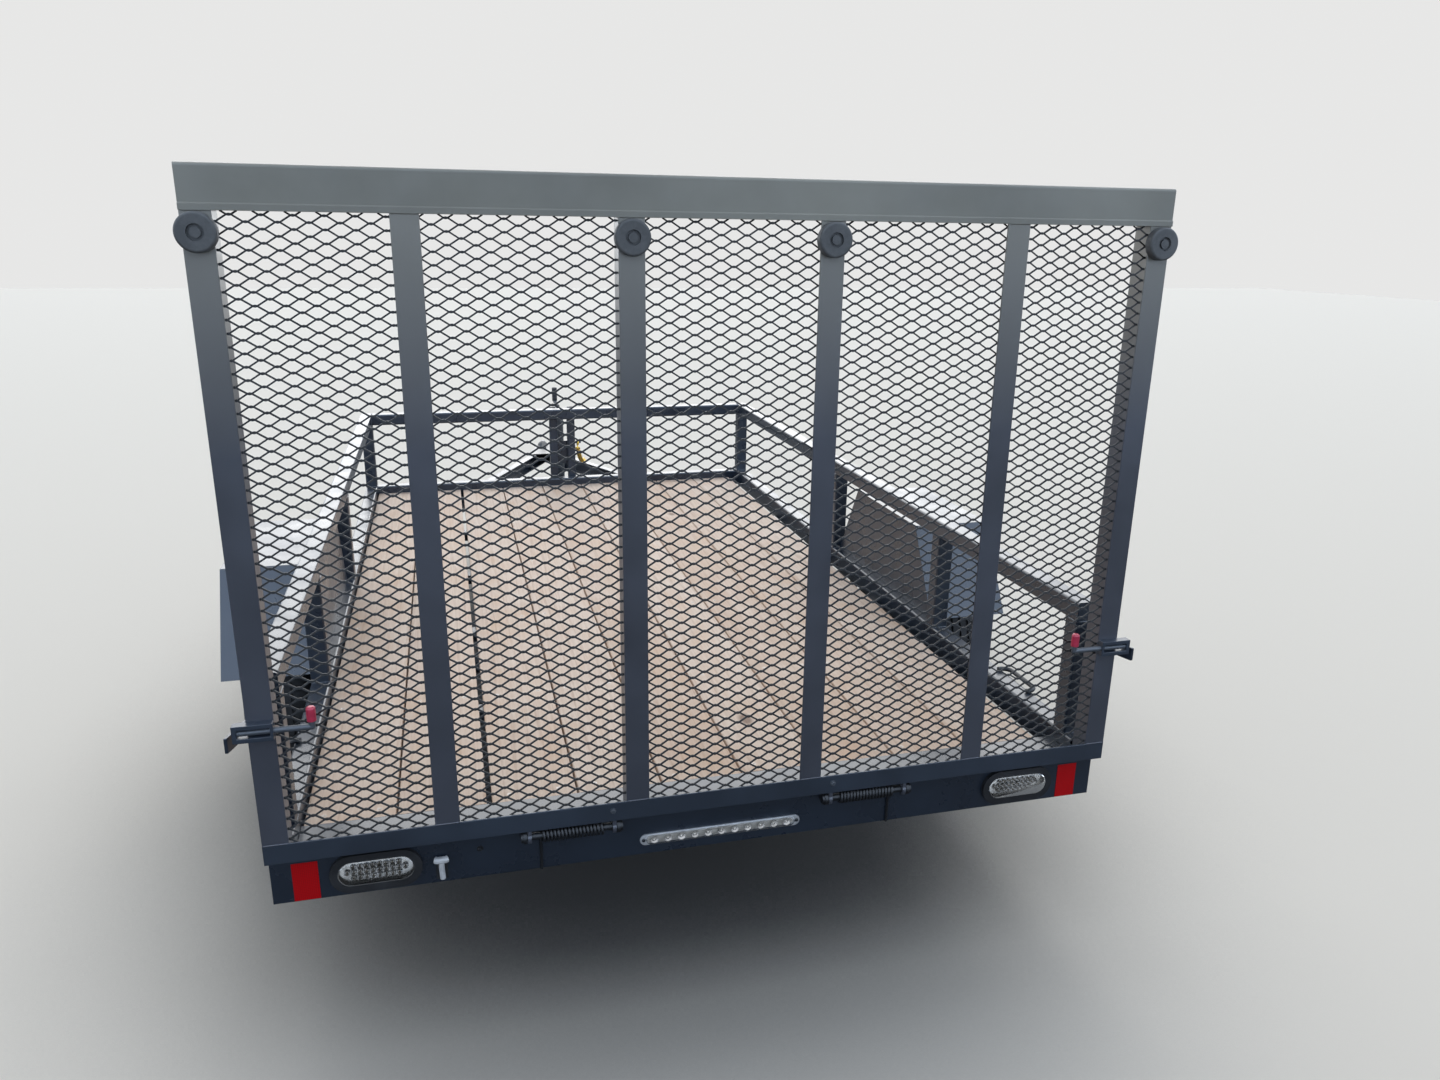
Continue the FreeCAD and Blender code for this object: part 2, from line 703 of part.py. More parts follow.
def rim():
    bead = rim_half_width - rim_edge
    lip = rim_radius + rim_flange
    inside = rim_radius - rim_skin
    well = rim_radius - rim_well_depth
    top = rim_well_half + rim_well_slope
    barrel = turned_polygon([(-rim_half_width, inside), (-rim_half_width, lip), (-bead, lip),
                             (-bead, rim_radius), (bead, rim_radius), (bead, lip),
                             (rim_half_width, lip), (rim_half_width, inside), (top, inside),
                             (rim_well_half, well), (-rim_well_half, well), (-top, inside)])
    pilot = hub_radius + pilot_clearance
    near = hub_face
    far = hub_face + disc_dish
    edge = far - disc_fall
    disc = turned_polygon([(near, pilot), (near + disc_thickness, pilot),
                           (near + disc_thickness, disc_seat_radius),
                           (far + disc_thickness, disc_crown_radius), (edge + disc_thickness, well),
                           (edge, well), (far, disc_crown_radius), (near, disc_seat_radius)])
    holes = [(stud_count, stud_circle_radius, stud_radius + stud_clearance, 0.0),
             (disc_hole_count, disc_hole_circle, disc_hole_radius, 0.5)]
    for count, circle, radius, phase in holes:
        for k in range(count):
            turn = 2 * math.pi * (k + phase) / count
            at = wheel_point(0, 0) + Vector(0, circle * math.sin(turn), circle * math.cos(turn))
            disc = disc.cut(rod(radius, at, at + Vector(rim_half_width, 0, 0)))
    return fused([barrel, disc])


def hub():
    bore = spindle_radius + running_clearance
    back = hub_face - hub_flange
    cap = hub_cap_end
    body = turned_polygon([(-hub_back, bore), (-hub_back, hub_radius), (back, hub_radius),
                           (back, hub_flange_radius), (hub_face, hub_flange_radius),
                           (hub_face, hub_radius), (hub_nose, hub_nose_radius),
                           (hub_cap_start, hub_cap_radius), (cap - hub_cap_bevel, hub_cap_radius),
                           (cap, hub_cap_radius - hub_cap_bevel), (cap, 0), (cap - hub_skin, 0),
                           (cap - hub_skin, bore)])
    studs = []
    for k in range(stud_count):
        turn = 2 * math.pi * k / stud_count
        at = wheel_point(hub_face, 0) + Vector(0, stud_circle_radius * math.sin(turn),
                                               stud_circle_radius * math.cos(turn))
        nut_start = at + Vector(disc_thickness + running_clearance, 0, 0)
        studs += [rod(stud_radius, at, at + Vector(stud_length, 0, 0)), hexagon(nut_start)]
    return fused([body] + studs)


def hexagon(start):
    points = []
    for k in range(6):
        turn = math.pi * k / 3
        points.append((start.x, start.y + nut_radius * math.cos(turn),
                       start.z + nut_radius * math.sin(turn)))
    return prism(points, (nut_length, 0, 0))


def wheels():
    save_pair("tyre", [tyre()])
    save_pair("rim", [rim()])
    save_pair("hub", [hub()])


def axle():
    z = tyre_radius
    beam_half = wheel_x - hub_back - axle_shoulder_gap
    spindle_half = wheel_x + hub_cap_end - 2 * hub_skin
    beam = rod(axle_radius, Vector(-beam_half, axle_y, z), Vector(beam_half, axle_y, z))
    spindle = rod(spindle_radius, Vector(-spindle_half, axle_y, z), Vector(spindle_half, axle_y, z))
    save("axle", [fused([beam, spindle])])


def arch_point(radius, turn, x):
    """A point on the spring's arch, at a turn about the arch's centre."""
    return Vector(x, axle_y + radius * math.sin(turn), arch_centre_z - radius * math.cos(turn))


def leaf(length, depth):
    """One spring leaf: an arc whose upper face lies 'depth' under the main leaf's."""
    outer = arch_radius + depth
    inner = outer + leaf_thickness
    half_turn = length / 2 / arch_radius
    x = spring_x - leaf_width / 2

    def at(radius, turn):
        return arch_point(radius, turn, x)

    edges = [Part.Arc(at(outer, -half_turn), at(outer, 0), at(outer, half_turn)).toShape(),
             Part.LineSegment(at(outer, half_turn), at(inner, half_turn)).toShape(),
             Part.Arc(at(inner, half_turn), at(inner, 0), at(inner, -half_turn)).toShape(),
             Part.LineSegment(at(inner, -half_turn), at(outer, -half_turn)).toShape()]
    return Part.Face(Part.Wire(edges)).extrude(Vector(leaf_width, 0, 0))


def springs():
    front = arch_point(eye_radius, eye_turn, spring_x)
    rear = arch_point(eye_radius, -eye_turn, spring_x)
    half = Vector(leaf_width / 2, 0, 0)
    pack = fused([leaf(length, k * leaf_thickness) for k, length in enumerate(leaf_lengths)]
                 + [rod(spring_eye_radius, eye - half, eye + half) for eye in (front, rear)])
    for eye in (front, rear):
        pack = pack.cut(rod(spring_bolt_radius, eye - half * 2, eye + half * 2))
    save_pair("leaf_spring", [pack])

    rise = math.sqrt(shackle_length ** 2 - shackle_lean ** 2)
    link_top = Vector(rear.x, rear.y - shackle_lean, rear.z + rise)
    side_gap = leaf_width / 2 + spring_side_gap
    across = Vector(side_gap + hanger_plate, 0, 0)
    hangers = []
    for bolt in (front, link_top):
        outline = [(bolt.y - hanger_half, frame_bottom), (bolt.y + hanger_half, frame_bottom),
                   (bolt.y + hanger_nose, bolt.z - hanger_nose),
                   (bolt.y - hanger_nose, bolt.z - hanger_nose)]
        block = prism([(spring_x - across.x, y, z) for y, z in outline], across * 2)
        slot = box(spring_x - side_gap, spring_x + side_gap, bolt.y - 2 * hanger_half,
                   bolt.y + 2 * hanger_half, bolt.z - 2 * hanger_nose, frame_bottom - hanger_plate)
        hole = rod(spring_bolt_radius, bolt - across * 2, bolt + across * 2)
        hangers.append(block.cut(slot).cut(hole))
    save("spring_hangers", hangers + [mirrored(h) for h in hangers])

    links = []
    along = (link_top - rear).normalize()
    edge = Vector(0, -along.z, along.y) * shackle_radius
    for x0 in (spring_x + across.x, spring_x - across.x - hanger_plate):
        ends = [rod(shackle_radius, Vector(x0, p.y, p.z), Vector(x0 + hanger_plate, p.y, p.z))
                for p in (rear, link_top)]
        corners = [rear + edge, link_top + edge, link_top - edge, rear - edge]
        links.append(fused([prism([(x0, c.y, c.z) for c in corners], (hanger_plate, 0, 0))] + ends))
    bolt_reach = across + Vector(hanger_plate + spring_bolt_end, 0, 0)
    for p in (rear, link_top):
        links = [link.cut(rod(spring_bolt_radius, p - bolt_reach, p + bolt_reach))
                 for link in links]
    bolts = [rod(spring_bolt_radius, p - bolt_reach, p + bolt_reach)
             for p in (front, rear, link_top)]
    hardware = links + bolts + axle_clamp()
    save("spring_hardware", hardware + [mirrored(piece) for piece in hardware])


def axle_clamp():
    """Two U-bolts over the axle and the seat plate under the spring."""
    pack_low = spring_top - leaf_thickness * len(leaf_lengths)
    plate_low = pack_low - spring_seat
    gap = axle_radius + ubolt_radius
    seat_half = leaf_width / 2 + spring_seat_edge
    seat_y = gap + ubolt_end
    seat = box(spring_x - seat_half, spring_x + seat_half, axle_y - seat_y, axle_y + seat_y,
               plate_low, pack_low)
    clamps = []
    for side in (-1, 1):
        x = spring_x + side * (ubolt_spacing / 2 + ubolt_radius)
        legs = [rod(ubolt_radius, Vector(x, axle_y + s * gap, plate_low - ubolt_end),
                    Vector(x, axle_y + s * gap, tyre_radius)) for s in (-1, 1)]
        bend = Part.makeTorus(gap, ubolt_radius, Vector(x, axle_y, tyre_radius), Vector(1, 0, 0))
        upper = box(x - gap, x + gap, axle_y - 2 * gap, axle_y + 2 * gap, tyre_radius,
                    tyre_radius + 2 * gap)
        clamps.append(fused(legs + [bend.common(upper)]))
        seat = seat.cut(fused(legs))
    return clamps + [seat]


def tongue_leg():
    """Right leg: a channel, open inward, cut square at the cross member and along the middle."""
    length = 1.5 * math.hypot(tongue_spread, tongue_reach)
    low = frame_bottom - tongue_height
    half = tongue_flange / 2
    bar = box(-half, half, -length, tongue_nose, low, frame_bottom)
    hollow = box(-half - plate, half - tongue_wall, -length - plate, tongue_nose + plate,
                 low + tongue_wall, frame_bottom - tongue_wall)
    channel = bar.cut(hollow)
    channel.rotate(Vector(0, 0, 0), Vector(0, 0, 1), math.degrees(tongue_angle))
    channel.translate(Vector(0, apex_y, 0))
    keep = box(0, half_width, last_cross_y, apex_y + 2 * tongue_nose, low - 1, frame_bottom + 1)
    return channel.common(keep)


def tongue_x(y):
    """Centre line of the right leg at a station."""
    return (apex_y - y) * math.tan(tongue_angle)


def tongue():
    save_pair("tongue_leg", [tongue_leg()])
    y0 = jack_y - jack_beam_size / 2
    y1 = jack_y + jack_beam_size / 2

    def bar(start, end, low):
        """Plate between the two legs from one station to another, up to their top."""
        near = tongue_x(start) - tongue_half
        far = tongue_x(end) - tongue_half
        return prism([(-near, start, low), (near, start, low), (far, end, low), (-far, end, low)],
                     (0, 0, frame_bottom - low))

    low = frame_bottom - jack_beam_size
    beam = fused([bar(y0, y1, frame_bottom - plate), bar(y0, y0 + plate, low),
                  bar(y1 - plate, y1, low)])
    hole = rod(jack_tube_radius, Vector(0, jack_y, low - plate),
               Vector(0, jack_y, frame_bottom + plate))
    save("jack_beam", [beam.cut(hole)])


def coupler():
    """Pressed cover with skirts outside the legs, a domed ball socket and its latch lever."""
    top = frame_bottom
    back_y = ball_y - coupler_length
    back_half = tongue_x(back_y) + tongue_half
    slope = math.atan2(back_half - coupler_radius, coupler_length)
    skirt = plate / math.cos(slope)
    shell = [prism([(-back_half - skirt, back_y, top), (back_half + skirt, back_y, top),
                    (coupler_radius, ball_y, top), (-coupler_radius, ball_y, top)],
                   (0, 0, plate))]
    for s in (-1, 1):
        low = top - coupler_skirt
        shell.append(prism([(s * back_half, back_y, low), (s * (back_half + skirt), back_y, low),
                            (s * coupler_radius, ball_y, low),
                            (s * (coupler_radius - skirt), ball_y, low)],
                           (0, 0, coupler_skirt)))
    crown = top + plate
    mouth = top - socket_drop
    shell.append(rod(coupler_radius, Vector(0, ball_y, mouth), Vector(0, ball_y, crown)))
    dome = Part.makeSphere(coupler_radius, Vector(0, ball_y, crown - socket_wall))
    reach = 2 * coupler_radius
    shell.append(dome.common(box(-reach, reach, ball_y - reach, ball_y + reach, crown,
                                 crown + reach)))
    lever = [(-lever_length, 0), (-lever_length, lever_plate), (-lever_length / 2, lever_rise),
             (-coupler_radius / 2, lever_rise), (-coupler_radius / 2, lever_rise - lever_plate),
             (-lever_length / 2 + lever_plate, lever_rise - lever_plate),
             (-lever_length + 3 * lever_plate, 0)]
    shell.append(prism([(-lever_width / 2, ball_y + a, crown + b) for a, b in lever],
                       (lever_width, 0, 0)))
    seat = Vector(0, ball_y, mouth + socket_depth)
    body = fused(shell).cut(rod(ball_radius, Vector(0, ball_y, mouth - plate), seat))
    save("coupler", [body.cut(Part.makeSphere(ball_radius, seat))])


def jack():
    low = Vector(0, jack_y, frame_bottom - jack_tube_below)
    high = Vector(0, jack_y, frame_bottom + jack_tube_above)
    end = Vector(0, 0, jack_tube_end)
    barrel = rod(jack_tube_radius, low, high)
    flange = box(-jack_flange_half_x, jack_flange_half_x, jack_y - jack_flange_half_y,
                 jack_y + jack_flange_half_y, frame_bottom, frame_bottom + jack_flange_plate)
    bore = rod(jack_tube_radius - jack_tube_wall, low - end, high - end)
    save("jack_tube", [fused([barrel, flange]).cut(bore)])

    foot = box(-jack_foot_half_x, jack_foot_half_x, jack_y - jack_foot_half_y,
               jack_y + jack_foot_half_y, 0, jack_foot_plate)
    leg = rod(jack_leg_radius, Vector(0, jack_y, jack_foot_plate),
              low + Vector(0, 0, jack_leg_inside))
    save("jack_leg", [fused([leg, foot])])

    arm_low = high.z + crank_hub_height
    arm_high = arm_low + crank_arm_plate
    hub_post = rod(crank_hub_radius, high, Vector(0, jack_y, arm_low))
    arm = box(-crank_arm_half, crank_arm_half, jack_y - crank_hub_radius,
              jack_y + crank_reach + crank_grip_radius, arm_low, arm_high)
    grip_at = Vector(0, jack_y + crank_reach, arm_high)
    grip = rod(crank_grip_radius, grip_at, grip_at + Vector(0, 0, crank_grip_length))
    save("jack_crank", [fused([hub_post, arm, grip])])


def carrier():
    y0 = frame_front
    y1 = frame_front + carrier_tube
    posts = []
    for s in (-1, 1):
        x = s * carrier_spacing / 2
        posts.append(tube(x - carrier_tube / 2, x + carrier_tube / 2, y0, y1,
                          frame_bottom, rail_z, "z"))
    cross = box(-carrier_half, carrier_half, y1, y1 + plate, deck_height + carrier_plate_low,
                deck_height + carrier_plate_high)
    peg_start = Vector(carrier_half, (y0 + y1) / 2, deck_height + peg_height)
    peg = rod(peg_radius, peg_start, peg_start + Vector(peg_length, 0, 0))
    save("carrier_posts", [fused(posts + [cross, peg])])


def chain_link():
    """Oval ring of six-sided wire about the origin, long way on X, flat in XY."""
    radius = chain_inner_width / 2 + chain_wire
    straight = (chain_inner_length - chain_inner_width) / 2
    short = radius * math.tan(math.pi / 8)
    stretch = 1 / math.cos(math.pi / 8)
    path = [(straight + radius, short), (straight + short, radius),
            (-straight - short, radius), (-straight - radius, short),
            (-straight - radius, -short), (-straight - short, -radius),
            (straight + short, -radius), (straight + radius, -short)]
    rings = []
    for k, (x, y) in enumerate(path):
        turn = math.pi * (2 * k + 1) / 8
        ring = []
        for j in range(6):
            out = chain_wire * math.cos(math.pi * j / 3) * stretch
            ring.append(Vector(x + out * math.cos(turn), y + out * math.sin(turn),
                               chain_wire * math.sin(math.pi * j / 3)))
        rings.append(ring)
    faces = []
    for k in range(8):
        for j in range(6):
            a, b = rings[k], rings[(k + 1) % 8]
            corners = [a[j], b[j], b[(j + 1) % 6], a[(j + 1) % 6]]
            faces.append(Part.Face(Part.makePolygon(corners + corners[:1])))
    solid = Part.makeSolid(Part.makeShell(faces))
    if solid.Volume < 0:
        solid.reverse()
    return solid


def hung_curve(start, end, length):
    """Points of a chain of a given length that hangs between two points."""
    def curve(sag):
        shares = [k / chain_steps for k in range(chain_steps + 1)]
        return [start + (end - start) * t - Vector(0, 0, 4 * sag * t * (1 - t)) for t in shares]

    low, high = 0.0, length / 2
    for _ in range(40):
        sag = (low + high) / 2
        line = curve(sag)
        if sum((b - a).Length for a, b in zip(line[:-1], line[1:])) < length:
            low = sag
        else:
            high = sag
    return line


def point_along(line, distance):
    for a, b in zip(line[:-1], line[1:]):
        step = (b - a).Length
        if distance <= step:
            return a + (b - a) * (distance / step)
        distance -= step
    return line[-1]


def chain_hook(peg_y, eye, across):
    """Round-eyed hook that hangs over the peg, with its shank ahead of the post."""
    x = eye.x
    z = eye.z + hook_eye_radius + hook_shank
    bend = Part.makeTorus(hook_radius, hook_wire, Vector(x, peg_y, z), Vector(1, 0, 0))
    reach = 2 * hook_radius
    bend = bend.common(box(x - reach, x + reach, peg_y - reach, peg_y + reach, z, z + reach))
    shank = Vector(x, peg_y + hook_radius, z)
    point = Vector(x, peg_y - hook_radius, z)
    half_eye = across * (chain_eye_plate / 2)
    hook = fused([bend, rod(hook_wire, shank - Vector(0, 0, hook_shank), shank),
                  rod(hook_wire, point - Vector(0, 0, hook_shank / 2), point),
                  rod(hook_eye_radius + hook_wire, eye - half_eye, eye + half_eye)])
    return hook.cut(rod(hook_eye_radius - hook_wire, eye - half_eye * 2, eye + half_eye * 2))


def chain_eye(eye, flat, across):
    """Plate on the tongue leg's top, with a round hole for the first link."""
    rim = chain_eye_bore + chain_eye_rim
    half_plate = across * (chain_eye_plate / 2)
    foot = prism([tuple(eye + flat * side * rim - half_plate - Vector(0, 0, drop))
                  for side, drop in ((-1, 0), (1, 0), (1, chain_eye_rise), (-1, chain_eye_rise))],
                 tuple(across * chain_eye_plate))
    tab = fused([rod(rim, eye - half_plate, eye + half_plate), foot])
    tab = tab.cut(box(eye.x - 2 * rim, eye.x + 2 * rim, eye.y - 2 * rim, eye.y + 2 * rim,
                      eye.z - 2 * rim, eye.z - chain_eye_rise))
    return tab.cut(rod(chain_eye_bore, eye - across * rim, eye + across * rim))


def eye_on_leg(target, z, reach):
    """Point at a height over the right leg's centre line, ahead of a target at a given reach."""
    spread = math.tan(tongue_angle)
    ahead = apex_y - target.y
    square = spread ** 2 + 1
    linear = spread * target.x + ahead
    rest = target.x ** 2 + ahead ** 2 + (z - target.z) ** 2 - reach ** 2
    back = (linear - math.sqrt(linear ** 2 - square * rest)) / square
    return Vector(back * spread, apex_y - back, z)


def safety_chain():
    peg_y = frame_front + carrier_tube / 2
    peg_z = deck_height + peg_height
    hook_z = peg_z + peg_radius + running_clearance + hook_wire - hook_radius
    hook_eye = Vector(carrier_half + peg_length / 2, peg_y + hook_radius,
                      hook_z - hook_shank - hook_eye_radius)
    pitch = chain_inner_length - chain_gap
    wire_span = chain_inner_length + 2 * chain_wire
    length = (chain_links - 1) * pitch + wire_span
    eye_play = chain_eye_bore - chain_wire - chain_gap
    hook_play = hook_eye_radius - hook_wire - chain_wire - chain_gap
    eye = eye_on_leg(hook_eye, frame_bottom + chain_eye_rise,
                     length / chain_slack + eye_play + hook_play)
    along = (hook_eye - eye).normalize()
    flat = Vector(along.x, along.y, 0).normalize()
    across = Vector(-flat.y, flat.x, 0)

    line = hung_curve(eye + along * eye_play, hook_eye - along * hook_play, length)
    link = chain_link()
    links = []
    for k in range(chain_links):
        near = point_along(line, k * pitch)
        far = point_along(line, k * pitch + wire_span)
        ahead = (far - near).normalize()
        side = across if k % 2 == 0 else ahead.cross(across)
        turn = FreeCAD.Rotation(ahead, side, Vector(0, 0, 0), "XYZ")
        placed = link.copy()
        placed.Placement = FreeCAD.Placement((near + far) / 2, turn)
        links.append(placed)
    save("safety_chain", [chain_eye(eye, flat, across), chain_hook(peg_y, hook_eye, across)]
         + links)


def stadium(x, z, half_length, half_height, y0, y1):
    """Rounded bar across X, extruded from y0 to y1."""
    straight = half_length - half_height
    body = box(x - straight, x + straight, y0, y1, z - half_height, z + half_height)
    ends = [rod(half_height, Vector(x + s * straight, y0, z), Vector(x + s * straight, y1, z))
            for s in (-1, 1)]
    return fused([body] + ends)


def lights():
    z = deck_height - light_drop
    y1 = rear_face_y
    y0 = y1 - light_depth
    rings = []
    lenses = []
    for x in (-light_x, light_x):
        outer = stadium(x, z, light_half_length + light_rim, light_half_height + light_rim, y0, y1)
        rings.append(outer.cut(stadium(x, z, light_half_length, light_half_height, y0, y1)))
        lenses.append(stadium(x, z, light_half_length, light_half_height, y0 - lens_proud, y1))
    save("light_grommets", rings)
    save("tail_lights", lenses)
    bar_z = deck_height - bar_drop
    save("light_bar", [stadium(0, bar_z, bar_half_length, bar_height / 2, y1 - bar_depth, y1)])
    low = deck_height - rear_member_height + tape_margin
    strip_x = half_width - tape_inset - tape_width
    strip = box(strip_x, strip_x + tape_width, y1 - tape_thickness, y1, low,
                deck_height - tape_drop)
    save("reflector_tape", [strip, mirrored(strip)])


side_frames()
front_header()
rear_member()
cross_members()
deck_planks()
rails()
tie_downs()
fenders()
gate()
hinges()
latches()
wheels()
axle()
springs()
tongue()
coupler()
jack()
carrier()
safety_chain()
lights()
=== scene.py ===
import bmesh
import bpy
import json
import math
import random
from mathutils import Matrix, Vector


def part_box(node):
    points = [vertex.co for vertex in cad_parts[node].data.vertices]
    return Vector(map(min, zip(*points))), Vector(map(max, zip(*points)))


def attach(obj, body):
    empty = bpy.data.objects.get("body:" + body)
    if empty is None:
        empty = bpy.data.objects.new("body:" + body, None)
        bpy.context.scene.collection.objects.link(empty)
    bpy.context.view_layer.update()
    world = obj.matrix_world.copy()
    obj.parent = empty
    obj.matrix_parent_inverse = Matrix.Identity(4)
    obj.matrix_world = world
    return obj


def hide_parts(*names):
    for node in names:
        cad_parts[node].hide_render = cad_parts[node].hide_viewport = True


# A utility trailer seen from behind its ramp gate. Metres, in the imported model's own frame.
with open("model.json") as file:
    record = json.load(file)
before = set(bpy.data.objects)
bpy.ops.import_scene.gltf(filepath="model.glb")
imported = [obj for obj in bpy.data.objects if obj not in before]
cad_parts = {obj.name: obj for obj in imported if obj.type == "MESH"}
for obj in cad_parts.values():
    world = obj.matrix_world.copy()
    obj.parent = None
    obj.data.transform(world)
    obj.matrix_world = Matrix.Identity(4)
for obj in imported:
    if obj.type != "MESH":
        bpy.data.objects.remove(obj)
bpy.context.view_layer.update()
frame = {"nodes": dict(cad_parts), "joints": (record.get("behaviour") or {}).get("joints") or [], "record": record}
nodes = frame["nodes"]
hinge = next(Vector(j["pos_m"]) for j in frame["joints"] if j["name"] == "gate_hinge")
random.seed(11)


# Small helpers for shapes. A shape is a pair of lists, points and faces, that grows as parts
# are added to it.

def newShape():
    return [], []


def addFaces(shape, points, faces):
    start = len(shape[0])
    shape[0].extend(points)
    shape[1].extend([tuple(i + start for i in face) for face in faces])


def addBox(shape, low, high):
    points = [(x, y, z) for x in (low[0], high[0]) for y in (low[1], high[1])
              for z in (low[2], high[2])]
    faces = [(0, 1, 3, 2), (4, 6, 7, 5), (0, 4, 5, 1), (2, 3, 7, 6), (0, 2, 6, 4), (1, 5, 7, 3)]
    addFaces(shape, points, faces)


def addLoops(shape, loops, closed=False, capped=True):
    # skin over rings of points that all have the same count
    count = len(loops[0])
    points = [p for loop in loops for p in loop]
    faces = []
    last = len(loops) if closed else len(loops) - 1
    for k in range(last):
        a, b = k * count, (k + 1) % len(loops) * count
        for i in range(count):
            j = (i + 1) % count
            faces.append((a + i, a + j, b + j, b + i))
    if capped and not closed:
        faces.append(tuple(range(count))[::-1])
        faces.append(tuple(range(len(points) - count, len(points))))
    addFaces(shape, points, faces)


def addTurned(shape, centre, axis, profile, sides=24, capped=True):
    # profile holds (distance along the axis, radius)
    turn = Vector(axis).to_track_quat("Z", "Y").to_matrix()
    loops = []
    for along, radius in profile:
        loops.append([Vector(centre) + turn @ Vector((radius * math.cos(2 * math.pi * i / sides),
                                                      radius * math.sin(2 * math.pi * i / sides),
                                                      along)) for i in range(sides)])
    addLoops(shape, loops, capped=capped)


def addTube(shape, path, radius, sides=8, closed=False):
    # round bar along a list of points
    loops = []
    count = len(path)
    side = None
    for k, here in enumerate(path):
        before = path[k - 1] if closed or k else here
        after = path[(k + 1) % count] if closed or k < count - 1 else here
        along = (Vector(after) - Vector(before)).normalized()
        if side is None:
            side = along.orthogonal().normalized()
        side = (side - along * side.dot(along)).normalized()
        up = along.cross(side)
        loops.append([Vector(here) + side * (radius * math.cos(2 * math.pi * i / sides))
                      + up * (radius * math.sin(2 * math.pi * i / sides)) for i in range(sides)])
    addLoops(shape, loops, closed=closed)


def stadiumLoop(centre, halfLength, halfHeight, y, steps=10):
    # rounded bar outline across X at one depth
    straight = halfLength - halfHeight
    loop = []
    for side in (1, -1):
        for k in range(steps + 1):
            turn = math.pi * (k / steps - 0.5) * side
            loop.append((centre[0] + side * (straight + halfHeight * math.cos(turn)), y,
                         centre[2] - halfHeight * math.sin(turn)))
    return loop


def addObject(name, data):
    made = bpy.data.objects.new(name, data)
    bpy.context.scene.collection.objects.link(made)
    return made


def addPiece(name, shape, material, body, smooth=None, standsFor=()):
    mesh = bpy.data.meshes.new(name)
    mesh.from_pydata([tuple(p) for p in shape[0]], [], shape[1])
    mesh.validate()
    mesh.materials.append(material)
    if smooth is not None:
        mesh.shade_smooth()
        mesh.set_sharp_from_angle(angle=math.radians(smooth))
    piece = addObject(name, mesh)
    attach(piece, body)
    if standsFor:
        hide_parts(*standsFor)
    return piece


def solidsOf(name):
    # lowest and highest corner of every separate solid in a node, from left to right
    mesh = bmesh.new()
    mesh.from_mesh(nodes[name].data)
    bmesh.ops.remove_doubles(mesh, verts=mesh.verts, dist=1e-5)
    seen = set()
    boxes = []
    for start in mesh.verts:
        if start in seen:
            continue
        seen.add(start)
        group = [start]
        for vert in group:
            for edge in vert.link_edges:
                other = edge.other_vert(vert)
                if other not in seen:
                    seen.add(other)
                    group.append(other)
        low = Vector([min(v.co[i] for v in group) for i in range(3)])
        high = Vector([max(v.co[i] for v in group) for i in range(3)])
        boxes.append((low, high))
    mesh.free()
    return sorted(boxes, key=lambda pair: (round(pair[0].x, 3), round(pair[0].y, 3)))


# Camera, sun, sky and floor
camera = {
    "place": (-0.5457, -4.1802, 1.7425),
    "turn": 14.922,        # degrees to the right of straight ahead
    "dip": 16.625,         # degrees below the horizon
    "tilt": 0.771,         # degrees of roll
    "lens": 25.626,
    "sensor": 36.0,
    "sees": 200.0,         # how far ahead
}


def makeCamera():
    turn = math.radians(camera["turn"])
    dip = math.radians(camera["dip"])
    tilt = math.radians(camera["tilt"])
    ahead = Vector((math.sin(turn) * math.cos(dip), math.cos(turn) * math.cos(dip),
                    -math.sin(dip)))
    level = Vector((math.cos(turn), -math.sin(turn), 0))
    upright = level.cross(ahead)
    right = level * math.cos(tilt) + upright * math.sin(tilt)
    up = upright * math.cos(tilt) - level * math.sin(tilt)
    data = bpy.data.cameras.new("photographer")
    data.lens = camera["lens"]
    data.sensor_width = camera["sensor"]
    data.clip_end = camera["sees"]
    eye = addObject("photographer", data)
    place = Matrix((right, up, -ahead)).transposed().to_4x4()
    place.translation = Vector(camera["place"])
    eye.matrix_world = place
    bpy.context.scene.camera = eye


# hazy sun low in the sky ahead: where it shines from, its strength and its width in degrees
sun = {"place": (1.5, 9.0, 5.6), "strength": 1.15, "angle": 55.0, "colour": (1.0, 0.975, 0.94)}
# colours of the sky ahead and behind, as light falls from it and as glossy faces mirror it
surroundings = {
    "lightAhead": (0.98, 0.98, 1.0),
    "lightBehind": (0.70, 0.82, 1.0),
    "lightStrength": 0.72,
    "mirrorAhead": (1.08, 1.12, 1.17),
    "mirrorBehind": (1.12, 1.36, 1.72),
    "mirrorStrength": 2.3,
    "turnover": 0.6,                       # how far round the colours go over into each other
    "seenColour": (0.80, 0.80, 0.795),
    "floorColour": (0.80, 0.765, 0.69),
    # painted shadow: the next three entries give the dark floor colour, the reach and the shares of the shadow
    # that ambient occlusion paints under the trailer
    "floorPaintedShadow": (0.05, 0.05, 0.05),      # where something stands low over the floor
    "paintedShadowReach": 1.3,
    "paintedShadowShares": (0.30, 0.92),           # open sky over the floor in full shade and in none
    "floorBounce": (0.13, 0.13, 0.125),    # what the floor sends back to the trailer
    "floorSize": 60.0,
}


def makeSun():
    data = bpy.data.lights.new("hazySun", "SUN")
    data.energy = sun["strength"]
    data.angle = math.radians(sun["angle"])
    data.color = sun["colour"]
    source = addObject("hazySun", data)
    source.location = sun["place"]
    source.rotation_euler = (-Vector(sun["place"])).to_track_quat("-Z", "Y").to_euler()


def skySide(tree, behind, ahead, strength):
    # background whose colour turns from one to the other between the two ends of the sky
    way = addNode(tree, "SeparateXYZ", {0: addNode(tree, "TexCoord").outputs["Generated"]})
    wide = surroundings["turnover"]
    share = mapRange(tree, way.outputs["Y"], -wide, wide, 0.0, 1.0)
    colour = mixColour(tree, share, (*behind, 1), (*ahead, 1))
    return addNode(tree, "Background", {"Color": colour, "Strength": strength}).outputs[0]


def seenShare(tree):
    # 1 for what the camera sees, also through a lens
    rays = addNode(tree, "LightPath")
    return combine(tree, "MAXIMUM", rays.outputs["Is Camera Ray"],
                   rays.outputs["Is Transmission Ray"])


